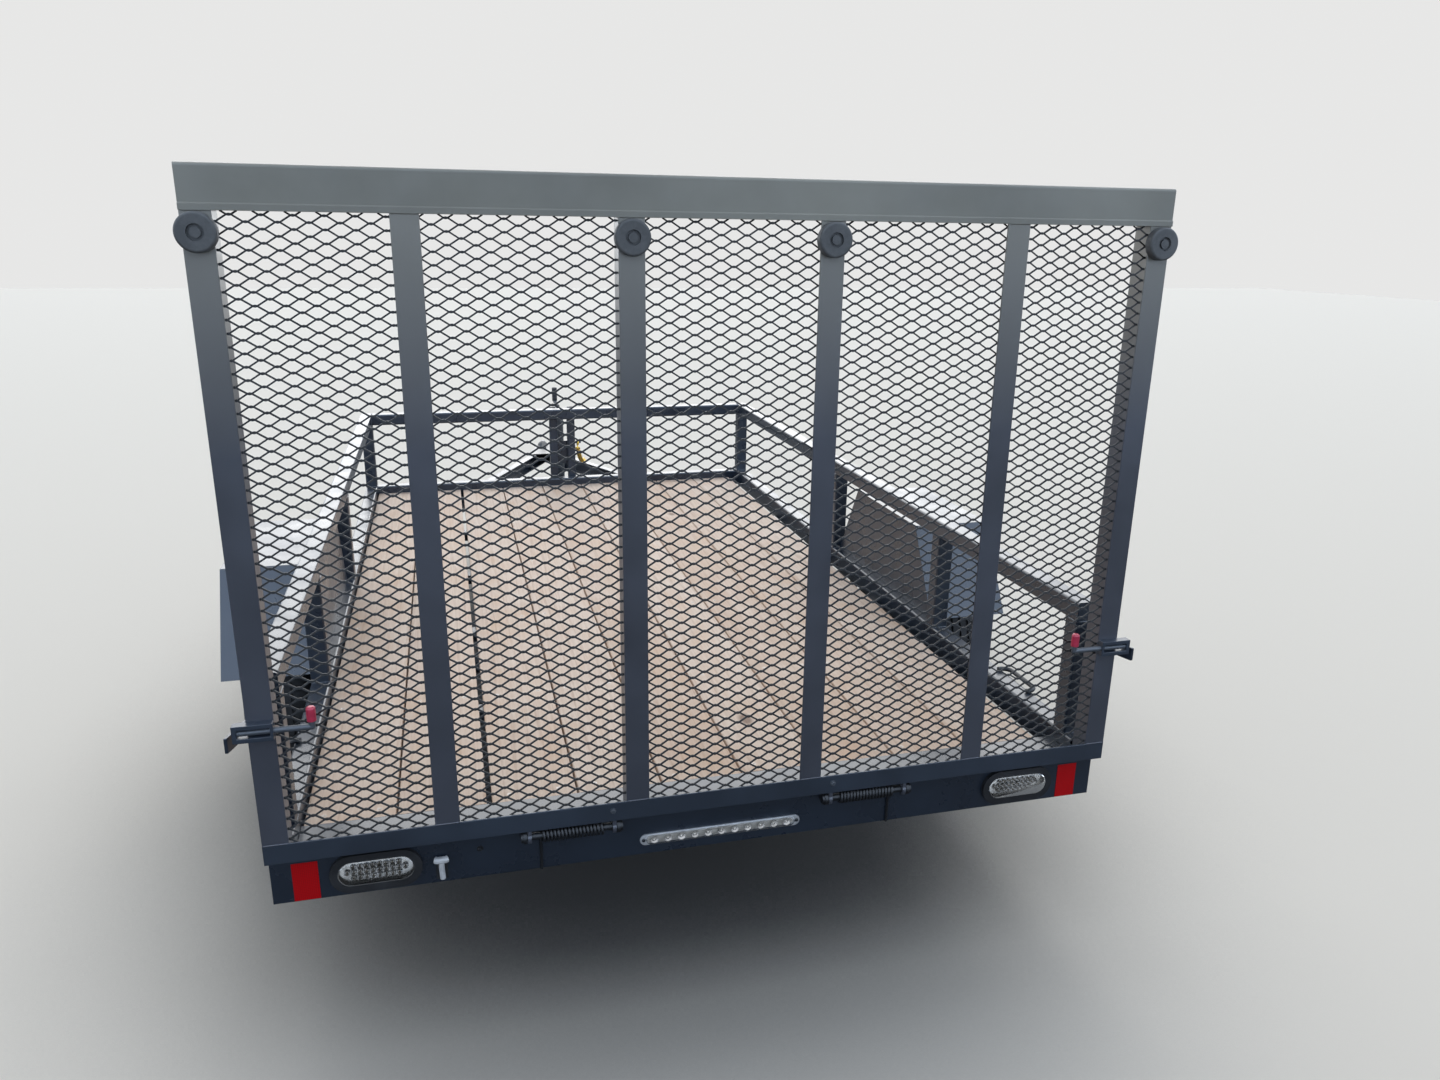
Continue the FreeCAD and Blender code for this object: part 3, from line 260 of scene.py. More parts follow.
def makeSky():
    world = bpy.data.worlds.new("paleSky")
    bpy.context.scene.world = world
    world.use_nodes = True
    tree = world.node_tree
    tree.nodes.clear()
    look = surroundings
    seen = addNode(tree, "Background", {"Color": (*look["seenColour"], 1), "Strength": 1.0})
    light = skySide(tree, look["lightBehind"], look["lightAhead"], look["lightStrength"])
    mirror = skySide(tree, look["mirrorBehind"], look["mirrorAhead"], look["mirrorStrength"])
    glossy = addNode(tree, "LightPath").outputs["Is Glossy Ray"]
    mix = addNode(tree, "MixShader", {0: glossy, 1: light, 2: mirror})
    mix = addNode(tree, "MixShader", {0: seenShare(tree), 1: mix.outputs[0],
                                      2: seen.outputs[0]})
    out = addNode(tree, "OutputWorld", {"Surface": mix.outputs[0]})
    out.is_active_output = True


def makeFloor():
    look = surroundings
    half = look["floorSize"] / 2
    mesh = bpy.data.meshes.new("floor")
    mesh.from_pydata([(-half, -half, 0), (half, -half, 0), (half, half, 0), (-half, half, 0)],
                     [], [(0, 1, 2, 3)])
    floor = addObject("floor", mesh)
    material, tree, shader = newMaterial("paleFloor")
    # painted shadow: ambient occlusion darkens the floor's colour under and around the trailer
    paintedShadowOcclusion = addNode(tree, "AmbientOcclusion", {"Distance": look["paintedShadowReach"]})
    share = mapRange(tree, paintedShadowOcclusion.outputs["AO"], *look["paintedShadowShares"], 0.0, 1.0)
    seen = mixColour(tree, share, (*look["floorPaintedShadow"], 1), (*look["floorColour"], 1))
    colour = mixColour(tree, seenShare(tree), (*look["floorBounce"], 1), seen)
    feed(shader, {"Base Color": colour, "Roughness": 0.9})
    mesh.materials.append(material)


# Small helpers for materials

def feed(node, inputs):
    # link a node's inputs to sockets, or set them to values
    for key, value in inputs.items():
        if isinstance(value, bpy.types.NodeSocket):
            node.id_data.links.new(value, node.inputs[key])
        else:
            node.inputs[key].default_value = value


def addNode(tree, kind, inputs=None, **settings):
    made = tree.nodes.new("ShaderNode" + kind)
    for key, value in settings.items():
        setattr(made, key, value)
    feed(made, inputs or {})
    return made


def newMaterial(name):
    material = bpy.data.materials.new(name)
    material.use_nodes = True
    tree = material.node_tree
    tree.nodes.clear()
    shader = addNode(tree, "BsdfPrincipled")
    addNode(tree, "OutputMaterial", {"Surface": shader.outputs[0]})
    return material, tree, shader


def addRamp(tree, factor, stops):
    made = addNode(tree, "ValToRGB", {"Fac": factor})
    line = made.color_ramp
    while len(line.elements) < len(stops):
        line.elements.new(0.5)
    for element, (place, colour) in zip(line.elements, stops):
        element.position = place
        element.color = (*colour, 1)
    return made.outputs["Color"]


def addNoise(tree, place, scale, detail=4.0, rough=0.55, stretch=None):
    vector = place
    if stretch:
        vector = addNode(tree, "Mapping", {"Vector": place, "Scale": stretch}).outputs[0]
    made = addNode(tree, "TexNoise", {"Vector": vector, "Scale": scale, "Detail": detail,
                                      "Roughness": rough})
    return made.outputs["Fac"]


def combine(tree, operation, first, second):
    return addNode(tree, "Math", {0: first, 1: second}, operation=operation).outputs[0]


def mapRange(tree, value, low, high, newLow, newHigh):
    made = addNode(tree, "MapRange", {"Value": value, "From Min": low, "From Max": high,
                                      "To Min": newLow, "To Max": newHigh})
    return made.outputs[0]


def mixColour(tree, factor, first, second, blend="MIX"):
    made = addNode(tree, "MixRGB", {"Fac": factor, "Color1": first, "Color2": second},
                   blend_type=blend)
    return made.outputs[0]


def addBump(tree, height, strength, distance, under=None):
    inputs = {"Height": height, "Strength": strength, "Distance": distance}
    if under:
        inputs["Normal"] = under
    return addNode(tree, "Bump", inputs).outputs[0]


def upwardShare(tree):
    # 1 on faces that look up, 0 on walls and undersides
    normal = addNode(tree, "NewGeometry").outputs["Normal"]
    height = addNode(tree, "SeparateXYZ", {0: normal}).outputs["Z"]
    return mapRange(tree, height, 0.3, 0.95, 0.0, 1.0)


yardDust = (0.30, 0.29, 0.27)


def powderCoat(name, colour, rough, dust, paintedLight=None, specular=0.5):
    # semi-gloss coat with orange peel, an uneven tone and a little yard dust on top faces.
    # painted light: the optional tuple holds the height where a paler tone starts, the one where it is full, and
    # that tone
    material, tree, shader = newMaterial(name)
    place = addNode(tree, "TexCoord").outputs["Object"]
    broad = addNoise(tree, place, 2.3, 5.0)
    specks = addNoise(tree, place, 55.0, 8.0, 0.7)
    dark = tuple(c * 0.82 for c in colour)
    pale = tuple(c * 1.22 for c in colour)
    base = addRamp(tree, broad, [(0.32, dark), (0.68, pale)])
    if paintedLight:
        height = addNode(tree, "SeparateXYZ", {0: place}).outputs["Z"]
        paintedLightShare = mapRange(tree, height, paintedLight[0], paintedLight[1], 0.0, 1.0)
        base = mixColour(tree, paintedLightShare, base, (*paintedLight[2], 1))
    lying = combine(tree, "MULTIPLY", upwardShare(tree),
                    mapRange(tree, specks, 0.42, 0.68, 0.25, 1.0))
    base = mixColour(tree, combine(tree, "MULTIPLY", lying, dust), base, (*yardDust, 1))
    gloss = mapRange(tree, addNoise(tree, place, 9.0, 6.0), 0.3, 0.7, rough - 0.05, rough + 0.09)
    peel = addBump(tree, addNoise(tree, place, 620.0, 2.0), 0.12, 0.0004)
    waves = addBump(tree, addNoise(tree, place, 34.0, 2.0), 0.02, 0.0012, peel)
    feed(shader, {"Base Color": base, "Roughness": gloss, "Specular IOR Level": specular,
                  "Normal": waves})
    return material


def plainMetal(name, colour, rough, stain=0.25):
    # plated or bare metal with faint streaks and stains
    material, tree, shader = newMaterial(name)
    place = addNode(tree, "TexCoord").outputs["Object"]
    cloud = addNoise(tree, place, 26.0, 7.0, 0.6)
    dark = tuple(c * (1 - stain) for c in colour)
    streaks = addNoise(tree, place, 240.0)
    feed(shader, {"Metallic": 1.0,
                  "Base Color": addRamp(tree, cloud, [(0.35, dark), (0.62, colour)]),
                  "Roughness": mapRange(tree, streaks, 0.3, 0.7, rough - 0.07, rough + 0.12),
                  "Normal": addBump(tree, streaks, 0.18, 0.0003)})
    return material


def mouldedRubber(name, colour, rough, specular=0.4):
    material, tree, shader = newMaterial(name)
    place = addNode(tree, "TexCoord").outputs["Object"]
    dusty = tuple(min(1.0, c * 2.2 + 0.006) for c in colour)
    cloud = addNoise(tree, place, 14.0, 8.0, 0.65)
    feed(shader, {"Base Color": addRamp(tree, cloud, [(0.42, colour), (0.75, dusty)]),
                  "Roughness": mapRange(tree, cloud, 0.3, 0.8, rough - 0.08, rough + 0.12),
                  "Specular IOR Level": specular,
                  "Normal": addBump(tree, addNoise(tree, place, 900.0, 2.0), 0.25, 0.0003)})
    return material


woodLook = {
    "ringPale": (0.62, 0.475, 0.37),
    "ringBroad": (0.76, 0.625, 0.52),
    "ringDark": (0.53, 0.39, 0.295),
    "darkest": (0.52, 0.355, 0.245),       # what the darkest plank leans to
    "bleached": (0.70, 0.595, 0.50),
    "stained": (0.60, 0.38, 0.225),
    "scuffed": (0.84, 0.74, 0.64),
    "knot": (0.13, 0.065, 0.035),
    "largeKnot": (0.168, -1.793, 0.5),     # place of the one near the gate
    "largeKnotShape": (1.0, 0.55, 0.3),    # wider along the plank
}


def deckWood(name):
    # sawn softwood: long streaks, arched rings, knots, and weathering from plank to plank
    material, tree, shader = newMaterial(name)
    place = addNode(tree, "TexCoord").outputs["Object"]
    tone = addNode(tree, "Attribute", attribute_name="plankTone").outputs["Fac"]
    shift = addNode(tree, "CombineXYZ", {"X": mapRange(tree, tone, 0, 1, 0, 7.0),
                                         "Y": mapRange(tree, tone, 0, 1, 0, 23.0), "Z": 0.0})
    moved = addNode(tree, "VectorMath", {0: place, 1: shift.outputs[0]},
                    operation="ADD").outputs[0]
    long = addNode(tree, "Mapping", {"Vector": moved, "Scale": (1.0, 0.07, 1.0)}).outputs[0]
    rings = addNode(tree, "TexWave", {"Vector": long, "Scale": 9.0, "Distortion": 7.5,
                                      "Detail": 3.0, "Detail Scale": 1.6},
                    bands_direction="X").outputs["Fac"]
    fibre = addNoise(tree, moved, 170.0, 6.0, 0.7, stretch=(1.0, 0.025, 1.0))
    cloud = addNoise(tree, moved, 2.6, 4.0, stretch=(1.0, 0.35, 1.0))
    blotch = addNoise(tree, moved, 13.0, 5.0, 0.6, stretch=(1.0, 0.45, 1.0))
    grain = combine(tree, "ADD", mapRange(tree, rings, 0, 1, 0.0, 0.45),
                    mapRange(tree, fibre, 0.3, 0.7, 0.0, 0.55))
    base = addRamp(tree, grain, [(0.05, woodLook["ringPale"]), (0.5, woodLook["ringBroad"]),
                                 (0.95, woodLook["ringDark"])])
    for source, low, high, most, colour in (
            (tone, 0, 1, 0.50, "darkest"), (cloud, 0.45, 0.75, 0.45, "bleached"),
            (blotch, 0.50, 0.70, 0.42, "stained"), (blotch, 0.46, 0.30, 0.35, "scuffed")):
        base = mixColour(tree, mapRange(tree, source, low, high, 0.0, most), base,
                         (*woodLook[colour], 1))
    spread = addNode(tree, "Mapping", {"Vector": moved, "Scale": (1.0, 0.62, 1.0)}).outputs[0]
    cells = addNode(tree, "TexVoronoi", {"Vector": spread, "Scale": 3.4, "Randomness": 1.0})
    small = mapRange(tree, cells.outputs["Distance"], 0.035, 0.075, 1.0, 0.0)
    away = addNode(tree, "VectorMath", {0: place, 1: woodLook["largeKnot"]}, operation="SUBTRACT")
    away = addNode(tree, "VectorMath", {0: away.outputs[0], 1: woodLook["largeKnotShape"]},
                   operation="MULTIPLY")
    away = addNode(tree, "VectorMath", {0: away.outputs[0]}, operation="LENGTH")
    large = mapRange(tree, away.outputs["Value"], 0.011, 0.024, 1.0, 0.0)
    knot = combine(tree, "MULTIPLY", combine(tree, "MAXIMUM", small, large), 0.8)
    base = mixColour(tree, knot, base, (*woodLook["knot"], 1))
    rough = addBump(tree, fibre, 0.35, 0.0012)
    feed(shader, {"Base Color": base, "Roughness": mapRange(tree, fibre, 0.3, 0.7, 0.62, 0.82),
                  "Normal": addBump(tree, rings, 0.15, 0.0008, rough)})
    return material


def clearPlastic(name, colour):
    material, tree, shader = newMaterial(name)
    place = addNode(tree, "TexCoord").outputs["Object"]
    feed(shader, {"Base Color": (*colour, 1), "Roughness": 0.05, "IOR": 1.3,
                  "Specular IOR Level": 0.25, "Transmission Weight": 1.0,
                  "Normal": addBump(tree, addNoise(tree, place, 160.0, 2.0), 0.05, 0.0004)})
    return material


def reflectiveTape(name, colour):
    # sheeting with a fine grid of cells under its clear face
    material, tree, shader = newMaterial(name)
    place = addNode(tree, "TexCoord").outputs["Object"]
    cells = addNode(tree, "TexVoronoi", {"Vector": place, "Scale": 260.0, "Randomness": 0.0},
                    feature="DISTANCE_TO_EDGE").outputs["Distance"]
    lines = mapRange(tree, cells, 0.04, 0.12, 0.0, 1.0)
    dark = tuple(c * 0.74 for c in colour)
    base = mixColour(tree, lines, (*dark, 1), (*colour, 1))
    feed(shader, {"Base Color": base, "Roughness": 0.28, "Specular IOR Level": 0.25,
                  "Coat Weight": 0.05, "Coat Roughness": 0.12,
                  "Normal": addBump(tree, lines, 0.2, 0.0002)})
    return material


def softVinyl(name, colour):
    material, tree, shader = newMaterial(name)
    place = addNode(tree, "TexCoord").outputs["Object"]
    cloud = addNoise(tree, place, 60.0, 5.0)
    dark = tuple(c * 0.7 for c in colour)
    feed(shader, {"Base Color": addRamp(tree, cloud, [(0.3, dark), (0.7, colour)]),
                  "Roughness": 0.35, "Normal": addBump(tree, cloud, 0.2, 0.0006)})
    return material


# Finishes
framePaint = powderCoat("charcoalFramePaint", (0.018, 0.027, 0.043), 0.27, 0.05)
# painted light: the gate paint is painted paler towards the top of the gate, where it looks lit
gatePaint = powderCoat("charcoalGatePaint", (0.068, 0.074, 0.093), 0.34, 0.04,
                       (1.34, 1.80, (0.26, 0.25, 0.215)))
sillPaint = powderCoat("charcoalSillPaint", (0.030, 0.041, 0.060), 0.34, 0.03)
# painted light: the top rail gets a pale copy of the gate paint for the light it catches
paintedLightRailPaint = powderCoat("topRailPaintedLight", (0.245, 0.24, 0.205), 0.44, 0.06)
meshPaint = powderCoat("blackMeshPaint", (0.009, 0.009, 0.009), 0.50, 0.0, None, 0.22)
dullZinc = powderCoat("dullZincRods", (0.075, 0.087, 0.104), 0.42, 0.05)
wood = deckWood("sawnPlanks")
plated = plainMetal("zincPlate", (0.52, 0.53, 0.54), 0.32)
darkSteel = powderCoat("blackSpringSteel", (0.013, 0.014, 0.016), 0.42, 0.06, None, 0.3)
couplerPaint = powderCoat("blackCouplerPaint", (0.018, 0.018, 0.020), 0.34, 0.10)
jackPaint = powderCoat("greyJackPaint", (0.055, 0.062, 0.070), 0.38, 0.10)
hubPaint = powderCoat("blackHubPaint", (0.028, 0.028, 0.030), 0.45, 0.12)
wheelPaint = powderCoat("silverWheelPaint", (0.48, 0.49, 0.50), 0.34, 0.05)
treadRubber = mouldedRubber("tyreRubber", (0.013, 0.013, 0.0135), 0.66, 0.3)
blackRubber = mouldedRubber("blackRubber", (0.012, 0.012, 0.013), 0.55, 0.3)
clearLens = clearPlastic("clearLens", (0.93, 0.95, 0.97))
bright = plainMetal("brightChrome", (0.86, 0.87, 0.88), 0.16, stain=0.08)
lampSilver = plainMetal("lampReflector", (0.72, 0.74, 0.77), 0.20, stain=0.4)
# painted reflection: the plated tee gets a near-white diffuse colour in place of the reflection on its zinc
teePaintedReflection = softVinyl("teePaintedHighlight", (0.88, 0.89, 0.90))
barPlastic = softVinyl("silverBarPlastic", (0.60, 0.61, 0.62))
diodeResin = softVinyl("diodeResin", (0.10, 0.09, 0.07))
redTape = reflectiveTape("redReflectiveTape", (0.70, 0.001, 0.006))
redVinyl = softVinyl("redVinylGrip", (0.72, 0.045, 0.11))
yellowZinc = plainMetal("yellowZincChain", (0.62, 0.40, 0.07), 0.40)
padRubber = mouldedRubber("greyPadRubber", (0.075, 0.078, 0.080), 0.60)
weldPaint = powderCoat("paintedWelds", (0.022, 0.030, 0.044), 0.40, 0.14)

finishes = {
    "frame_paint": framePaint, "gate_paint": gatePaint, "deck_wood": wood,
    "bright_steel": plated, "spring_steel": darkSteel, "coupler_paint": couplerPaint,
    "jack_zinc": jackPaint, "hub_iron": hubPaint, "wheel_silver": wheelPaint,
    "tyre_rubber": treadRubber, "black_rubber": blackRubber, "clear_lens": clearLens,
    "red_tape": redTape, "red_vinyl": redVinyl, "chain_zinc": yellowZinc,
}
# nodes whose finish differs from that of their slot
ownFinish = {
    "gate_top_rail": paintedLightRailPaint, "gate_bottom_rail": sillPaint, "gate_latch_straps": sillPaint,
    "gate_latch_rods": dullZinc, "gate_pads": padRubber, "hinge_pins": darkSteel,
    "tie_downs": darkSteel,
}
# nodes whose corners are folded or sawn, and how far they are rounded
roundedEdges = {
    "rear_member": 0.0016, "cross_members": 0.0016, "fender_left": 0.0012,
    "fender_right": 0.0012, "tongue_leg_left": 0.0016, "tongue_leg_right": 0.0016,
    "gate_bottom_rail": 0.0012, "gate_uprights": 0.0012, "gate_latch_straps": 0.0012,
    "gate_strikers": 0.0012, "jack_beam": 0.0012,
}


def dressNodes():
    for part in frame["record"]["subparts"]:
        node = nodes[part["node"]]
        for socket in node.material_slots:
            socket.link = "OBJECT"
            socket.material = ownFinish.get(part["node"], finishes[part["material_slot"]])
    for name, width in roundedEdges.items():
        weld = nodes[name].modifiers.new("joinPoints", "WELD")
        weld.merge_threshold = 0.00002
        bevel = nodes[name].modifiers.new("roundEdges", "BEVEL")
        bevel.width = width
        bevel.segments = 2
        bevel.limit_method = "ANGLE"
        bevel.angle_limit = math.radians(35)
        bevel.harden_normals = False


# Deck
deck = {
    "edgeRadius": 0.0025,
    "lowest": 0.0012,          # how far a plank's top may lie under the highest one
    "loops": 12,               # along a plank
    "screwRadius": 0.0048,
    "screwHeights": (-0.001, 0.0002, -0.0004),     # its foot, rim and dish over the plank
    "screwDish": 0.45,         # the dish's radius, over the screw's
    "screwInset": 0.036,       # from a plank's side
    "screwEnd": 0.032,         # from a plank's end
    "screwStray": (0.004, 0.005),
    "slotLong": 0.6,           # half a slot's length, over the screw's radius
    "slotHalf": 0.0006,        # half its width, and its depth
    "slotTop": 0.00015,
    "narrow": 0.1,             # a plank under this width has one screw to a row
}


def addPlank(shape, low, high, top):
    # a board with rounded edges, and how many points it took
    r = deck["edgeRadius"]
    outline = []
    corners = [(high.x - r, top - r), (low.x + r, top - r), (low.x + r, low.z + r),
               (high.x - r, low.z + r)]
    for quarter, (cx, cz) in enumerate(corners):
        for k in range(4):
            turn = math.pi / 2 * (quarter + k / 3)
            outline.append((cx + r * math.cos(turn), cz + r * math.sin(turn)))
    loops = []
    for k in range(deck["loops"] + 1):
        y = low.y + (high.y - low.y) * k / deck["loops"]
        loops.append([(x, y, z) for x, z in outline])
    addLoops(shape, loops)
    return len(outline) * len(loops)


def addScrew(screws, slotShades, spot):
    radius = deck["screwRadius"]
    foot, rim, dish = deck["screwHeights"]
    addTurned(screws, spot, (0, 0, 1), [(foot, radius), (rim, radius),
                                        (dish, radius * deck["screwDish"])], 10)
    x, y, z = spot
    long, half = radius * deck["slotLong"], deck["slotHalf"]
    # painted shade: a dark steel bar across the head stands in for the shade inside the screw's slot
    addBox(slotShades, (x - long, y - half, z - half), (x + long, y + half, z + deck["slotTop"]))


def makeDeck():
    shape, screws, slotShades = newShape(), newShape(), newShape()
    tones = []
    strayX, strayY = deck["screwStray"]
    planks = solidsOf("deck_planks")
    rows = sorted({round((low.y + high.y) / 2, 4) for low, high in solidsOf("cross_members")})
    rows = [planks[0][0].y + deck["screwEnd"]] + rows + [planks[0][1].y - deck["screwEnd"]]
    for low, high in planks:
        top = high.z - random.uniform(0, deck["lowest"])
        count = addPlank(shape, low, high, top)
        tones += [random.random()] * count
        for y in rows:
            for x in (low.x + deck["screwInset"], high.x - deck["screwInset"]):
                if high.x - low.x < deck["narrow"] and x > (low.x + high.x) / 2:
                    continue
                addScrew(screws, slotShades, (x + random.uniform(-strayX, strayX),
                                         y + random.uniform(-strayY, strayY), top))
    piece = addPiece("deckPlanks", shape, wood, "trailer_frame", 40,
                     standsFor=("deck_planks",))
    store = piece.data.attributes.new("plankTone", "FLOAT", "POINT")
    store.data.foreach_set("value", tones)
    addPiece("deckScrews", screws, plated, "trailer_frame", 40)
    # painted shade in the screw heads' slots
    addPiece("deckScrewSlotShade", slotShades, darkSteel, "trailer_frame")


# Expanded metal in the gate
lattice = {
    "longWay": 0.0508,
    "shortWay": 0.0234,
    "strand": 0.0031,         # width of a strand seen square on
    "gauge": 0.0022,
    "lean": 0.0006,           # how far a strand's upper edge leans forward
    "bondHalf": 0.0052,       # half length of the bond between four strands
    "bondHigh": 0.0052,
    "bondTaper": 0.62,        # a bond's height at its ends, over that at its middle
    "bondProud": 0.0003,
    "strandStart": 0.7,       # where strands leave a bond, over its half length
}


def clipped(a, b, low, high):
    # part of the line from a to b, as (x, z), that lies inside a window, or None
    start, end = 0.0, 1.0
    for axis in (0, 1):
        step = b[axis] - a[axis]
        for edge, sign in ((low[axis], -1), (high[axis], 1)):
            room = sign * (edge - a[axis])
            run = sign * step
            if run == 0:
                if room < 0:
                    return None
            elif run > 0:
                end = min(end, room / run)
            else:
                start = max(start, room / run)
    if start >= end - 0.02:
        return None
    return [(a[0] + (b[0] - a[0]) * t, a[1] + (b[1] - a[1]) * t) for t in (start, end)]


def makeLattice():
    shape = newShape()
    halfLong = lattice["longWay"] / 2
    halfShort = lattice["shortWay"] / 2
    bond = lattice["bondHalf"]
    leave = bond * lattice["strandStart"]
    for low, high in solidsOf("gate_mesh"):
        middle = (low.y + high.y) / 2
        window = ((low.x, low.z), (high.x, high.z))
        lastRow = math.ceil((high.z - low.z) / halfShort)
        for row in range(lastRow + 1):
            z = low.z + row * halfShort
            first = math.floor(low.x / halfLong) - 2
            last = math.ceil(high.x / halfLong) + 2
            for column in range(first, last + 1):
                if (column + row) % 2:
                    continue
                x = column * halfLong
                ends = clipped((x - bond, z), (x + bond, z), *window)
                if ends:
                    addBond(shape, ends, middle)
                for side in (-1, 1):
                    ends = clipped((x + side * leave, z),
                                   (x + side * (halfLong - leave), z + halfShort), *window)
                    if ends:
                        addStrand(shape, ends, middle)
    addPiece("expandedMetal", shape, meshPaint, "gate", standsFor=("gate_mesh",))


def addBond(shape, ends, middle):
    (x0, z), (x1, _) = ends
    half = lattice["bondHigh"] / 2
    deep = lattice["gauge"] / 2 + lattice["bondProud"]
    lean = lattice["lean"]
    taper = lattice["bondTaper"]
    points = []
    for x, share in ((x0, taper), ((x0 + x1) / 2, 1.0), (x1, taper)):
        points += [(x, middle - deep - lean, z - half * share),
                   (x, middle + deep - lean, z - half * share),
                   (x, middle + deep + lean, z + half * share),
                   (x, middle - deep + lean, z + half * share)]
    faces = []
    for k in (0, 4):
        faces += [(k + i, k + (i + 1) % 4, k + 4 + (i + 1) % 4, k + 4 + i) for i in range(4)]
    faces += [(3, 2, 1, 0), (8, 9, 10, 11)]
    addFaces(shape, points, faces)


def addStrand(shape, ends, middle):
    (xa, za), (xb, zb) = ends
    length = math.hypot(xb - xa, zb - za)
    acrossX, acrossZ = -(zb - za) / length, (xb - xa) / length
    if acrossZ < 0:
        acrossX, acrossZ = -acrossX, -acrossZ
    half = lattice["strand"] / 2
    deep = lattice["gauge"] / 2
    lean = lattice["lean"]
    points = []
    for x, z in ((xa, za), (xb, zb)):
        points += [(x - acrossX * half, middle - deep - lean, z - acrossZ * half),
                   (x - acrossX * half, middle + deep - lean, z - acrossZ * half),
                   (x + acrossX * half, middle + deep + lean, z + acrossZ * half),
                   (x + acrossX * half, middle - deep + lean, z + acrossZ * half)]
    addFaces(shape, points, [(i, (i + 1) % 4, 4 + (i + 1) % 4, 4 + i) for i in range(4)])


# Tyres
tyre = {
    "segments": 160,
    "blockRun": 4,             # segments from one tread block to the next
    "grooveDepth": 0.0075,
    "sipeShares": (0.35, 0.8),  # depth of the cuts across, inside and outside the shoulder
    "shoulder": 0.05,
    "bead": (0.075, 0.1905),   # (offset from the wheel's middle, radius)
    "wallRings": ((0.0850, 0.214), (0.0925, 0.226), (0.0945, 0.2275), (0.0945, 0.2315),
                  (0.0990, 0.236), (0.1018, 0.252), (0.1025, 0.262), (0.1020, 0.274),
                  (0.0998, 0.290), (0.1003, 0.2925), (0.0995, 0.2965), (0.0970, 0.305),
                  (0.0935, 0.3145)),
    # tread from the edge to the middle: (offset, drop from the crown, 0 plain, 1 cut across,
    # 2 in a groove round the tyre)
    "tread": ((0.0880, 0.0205, 0), (0.0815, 0.0115, 1), (0.0720, 0.0065, 1),
              (0.0560, 0.0036, 1), (0.0480, 0.0028, 1), (0.0472, 0.0028, 2),
              (0.0400, 0.0028, 2), (0.0392, 0.0020, 1), (0.0280, 0.0012, 1),
              (0.0190, 0.0008, 1), (0.0182, 0.0008, 2), (0.0110, 0.0008, 2),
              (0.0102, 0.0003, 0), (0.0, 0.0, 0)),
}


def makeTyre(side):
    body = "wheel_" + side
    low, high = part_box("tyre_" + side)
    centre = (Vector(low) + Vector(high)) / 2
    radius = (high[2] - low[2]) / 2
    profile = [(offset, r, 0) for offset, r in (tyre["bead"],) + tyre["wallRings"]]
    profile += [(offset, radius - drop, kind) for offset, drop, kind in tyre["tread"]]
    profile += [(-offset, r, kind) for offset, r, kind in profile[-2::-1]]
    count = tyre["segments"]
    run = tyre["blockRun"]
    inner, outer = tyre["sipeShares"]
    points = []
    for k in range(count):
        turn = 2 * math.pi * k / count
        for offset, r, kind in profile:
            shifted = k + run // 2 if offset < 0 else k     # the two sides' blocks are staggered
            if kind == 2:
                r -= tyre["grooveDepth"]
            elif kind == 1 and shifted % run == 0:
                share = outer if abs(offset) > tyre["shoulder"] else inner
                r -= tyre["grooveDepth"] * share
            points.append((centre.x + offset, centre.y + r * math.sin(turn),
                           centre.z + r * math.cos(turn)))
    width = len(profile)
    faces = []
    for k in range(count):
        a, b = k * width, (k + 1) % count * width
        faces += [(a + i, b + i, b + i + 1, a + i + 1) for i in range(width - 1)]
    shape = newShape()
    addFaces(shape, points, faces)
    addPiece("treadedTyre." + side, shape, treadRubber, body, 32,
             standsFor=("tyre_" + side,))


# Lift springs
coil = {
    "radius": 0.0130,
    "wire": 0.0033,
    "turns": 17,
    "sides": 7,
    "stepsPerTurn": 14,
    "leg": 0.098,              # its end under the hinge
    "legBend": 0.006,
    "wallGap": 0.004,          # from the wall where the leg bends down
}


def makeLiftSprings():
    shape = newShape()
    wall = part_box("rear_member")[0][1]
    for low, high in solidsOf("lift_springs"):
        side = 1 if low.x > 0 else -1
        x0, x1 = (low.x, high.x) if side > 0 else (high.x, low.x)
        run = x1 - x0 - side * 2 * coil["wire"]
        steps = coil["turns"] * coil["stepsPerTurn"]
        path = []
        for k in range(steps + 1):
            turn = 2 * math.pi * k / coil["stepsPerTurn"]
            path.append(Vector((x0 + side * coil["wire"] + run * k / steps,
                                hinge.y - coil["radius"] * math.sin(turn),
                                hinge.z - coil["radius"] * math.cos(turn))))
        last = path[-1]
        seat = wall - coil["wire"]
        path.append(Vector((last.x, seat - coil["wallGap"], last.z)))
        path.append(Vector((last.x, seat, last.z - coil["legBend"])))
        path.append(Vector((last.x, seat, hinge.z - coil["leg"])))
        addTube(shape, path, coil["wire"], coil["sides"])
    addPiece("woundLiftSprings", shape, darkSteel, "trailer_frame", 50,
             standsFor=("lift_springs",))


# Rear lamps
lamp = {
    "cellsAcross": 10,
    "rows": 3,
    "cellPitch": 0.0132,
    "rowPitch": 0.0138,
    "cellRadius": 0.0064,
    "cellDepth": 0.0048,       # cells in front of the lamp's back
    "backThick": 0.0022,
    "backInset": 0.001,
    "lensBack": 0.0095,
    "lensSteps": ((0.0, 0.0030), (0.0012, 0.0010), (0.004, 0.0)),   # (inset, depth)
}
bar = {
    "cells": 11,
    "pitch": 0.0315,
    "cellRadius": 0.0088,
    "cellDepth": 0.0052,
    "baseSteps": ((0.0, 0.0), (0.0, 0.0028), (0.0012, 0.0036)),     # (inset, from the wall)
    "lensShort": 0.014,        # the lens is this much shorter than its base at each end
    "lensLow": 0.0025,         # and lower
    "lensBack": 0.0042,
    "lensSteps": ((0.0, 0.0022), (0.0015, 0.0004), (0.004, 0.0)),   # (inset, depth)
    "screwInset": 0.008,
    "screw": ((0, 0.0045), (0.0014, 0.0042), (0.0024, 0.0028), (0.0020, 0.0012)),
}
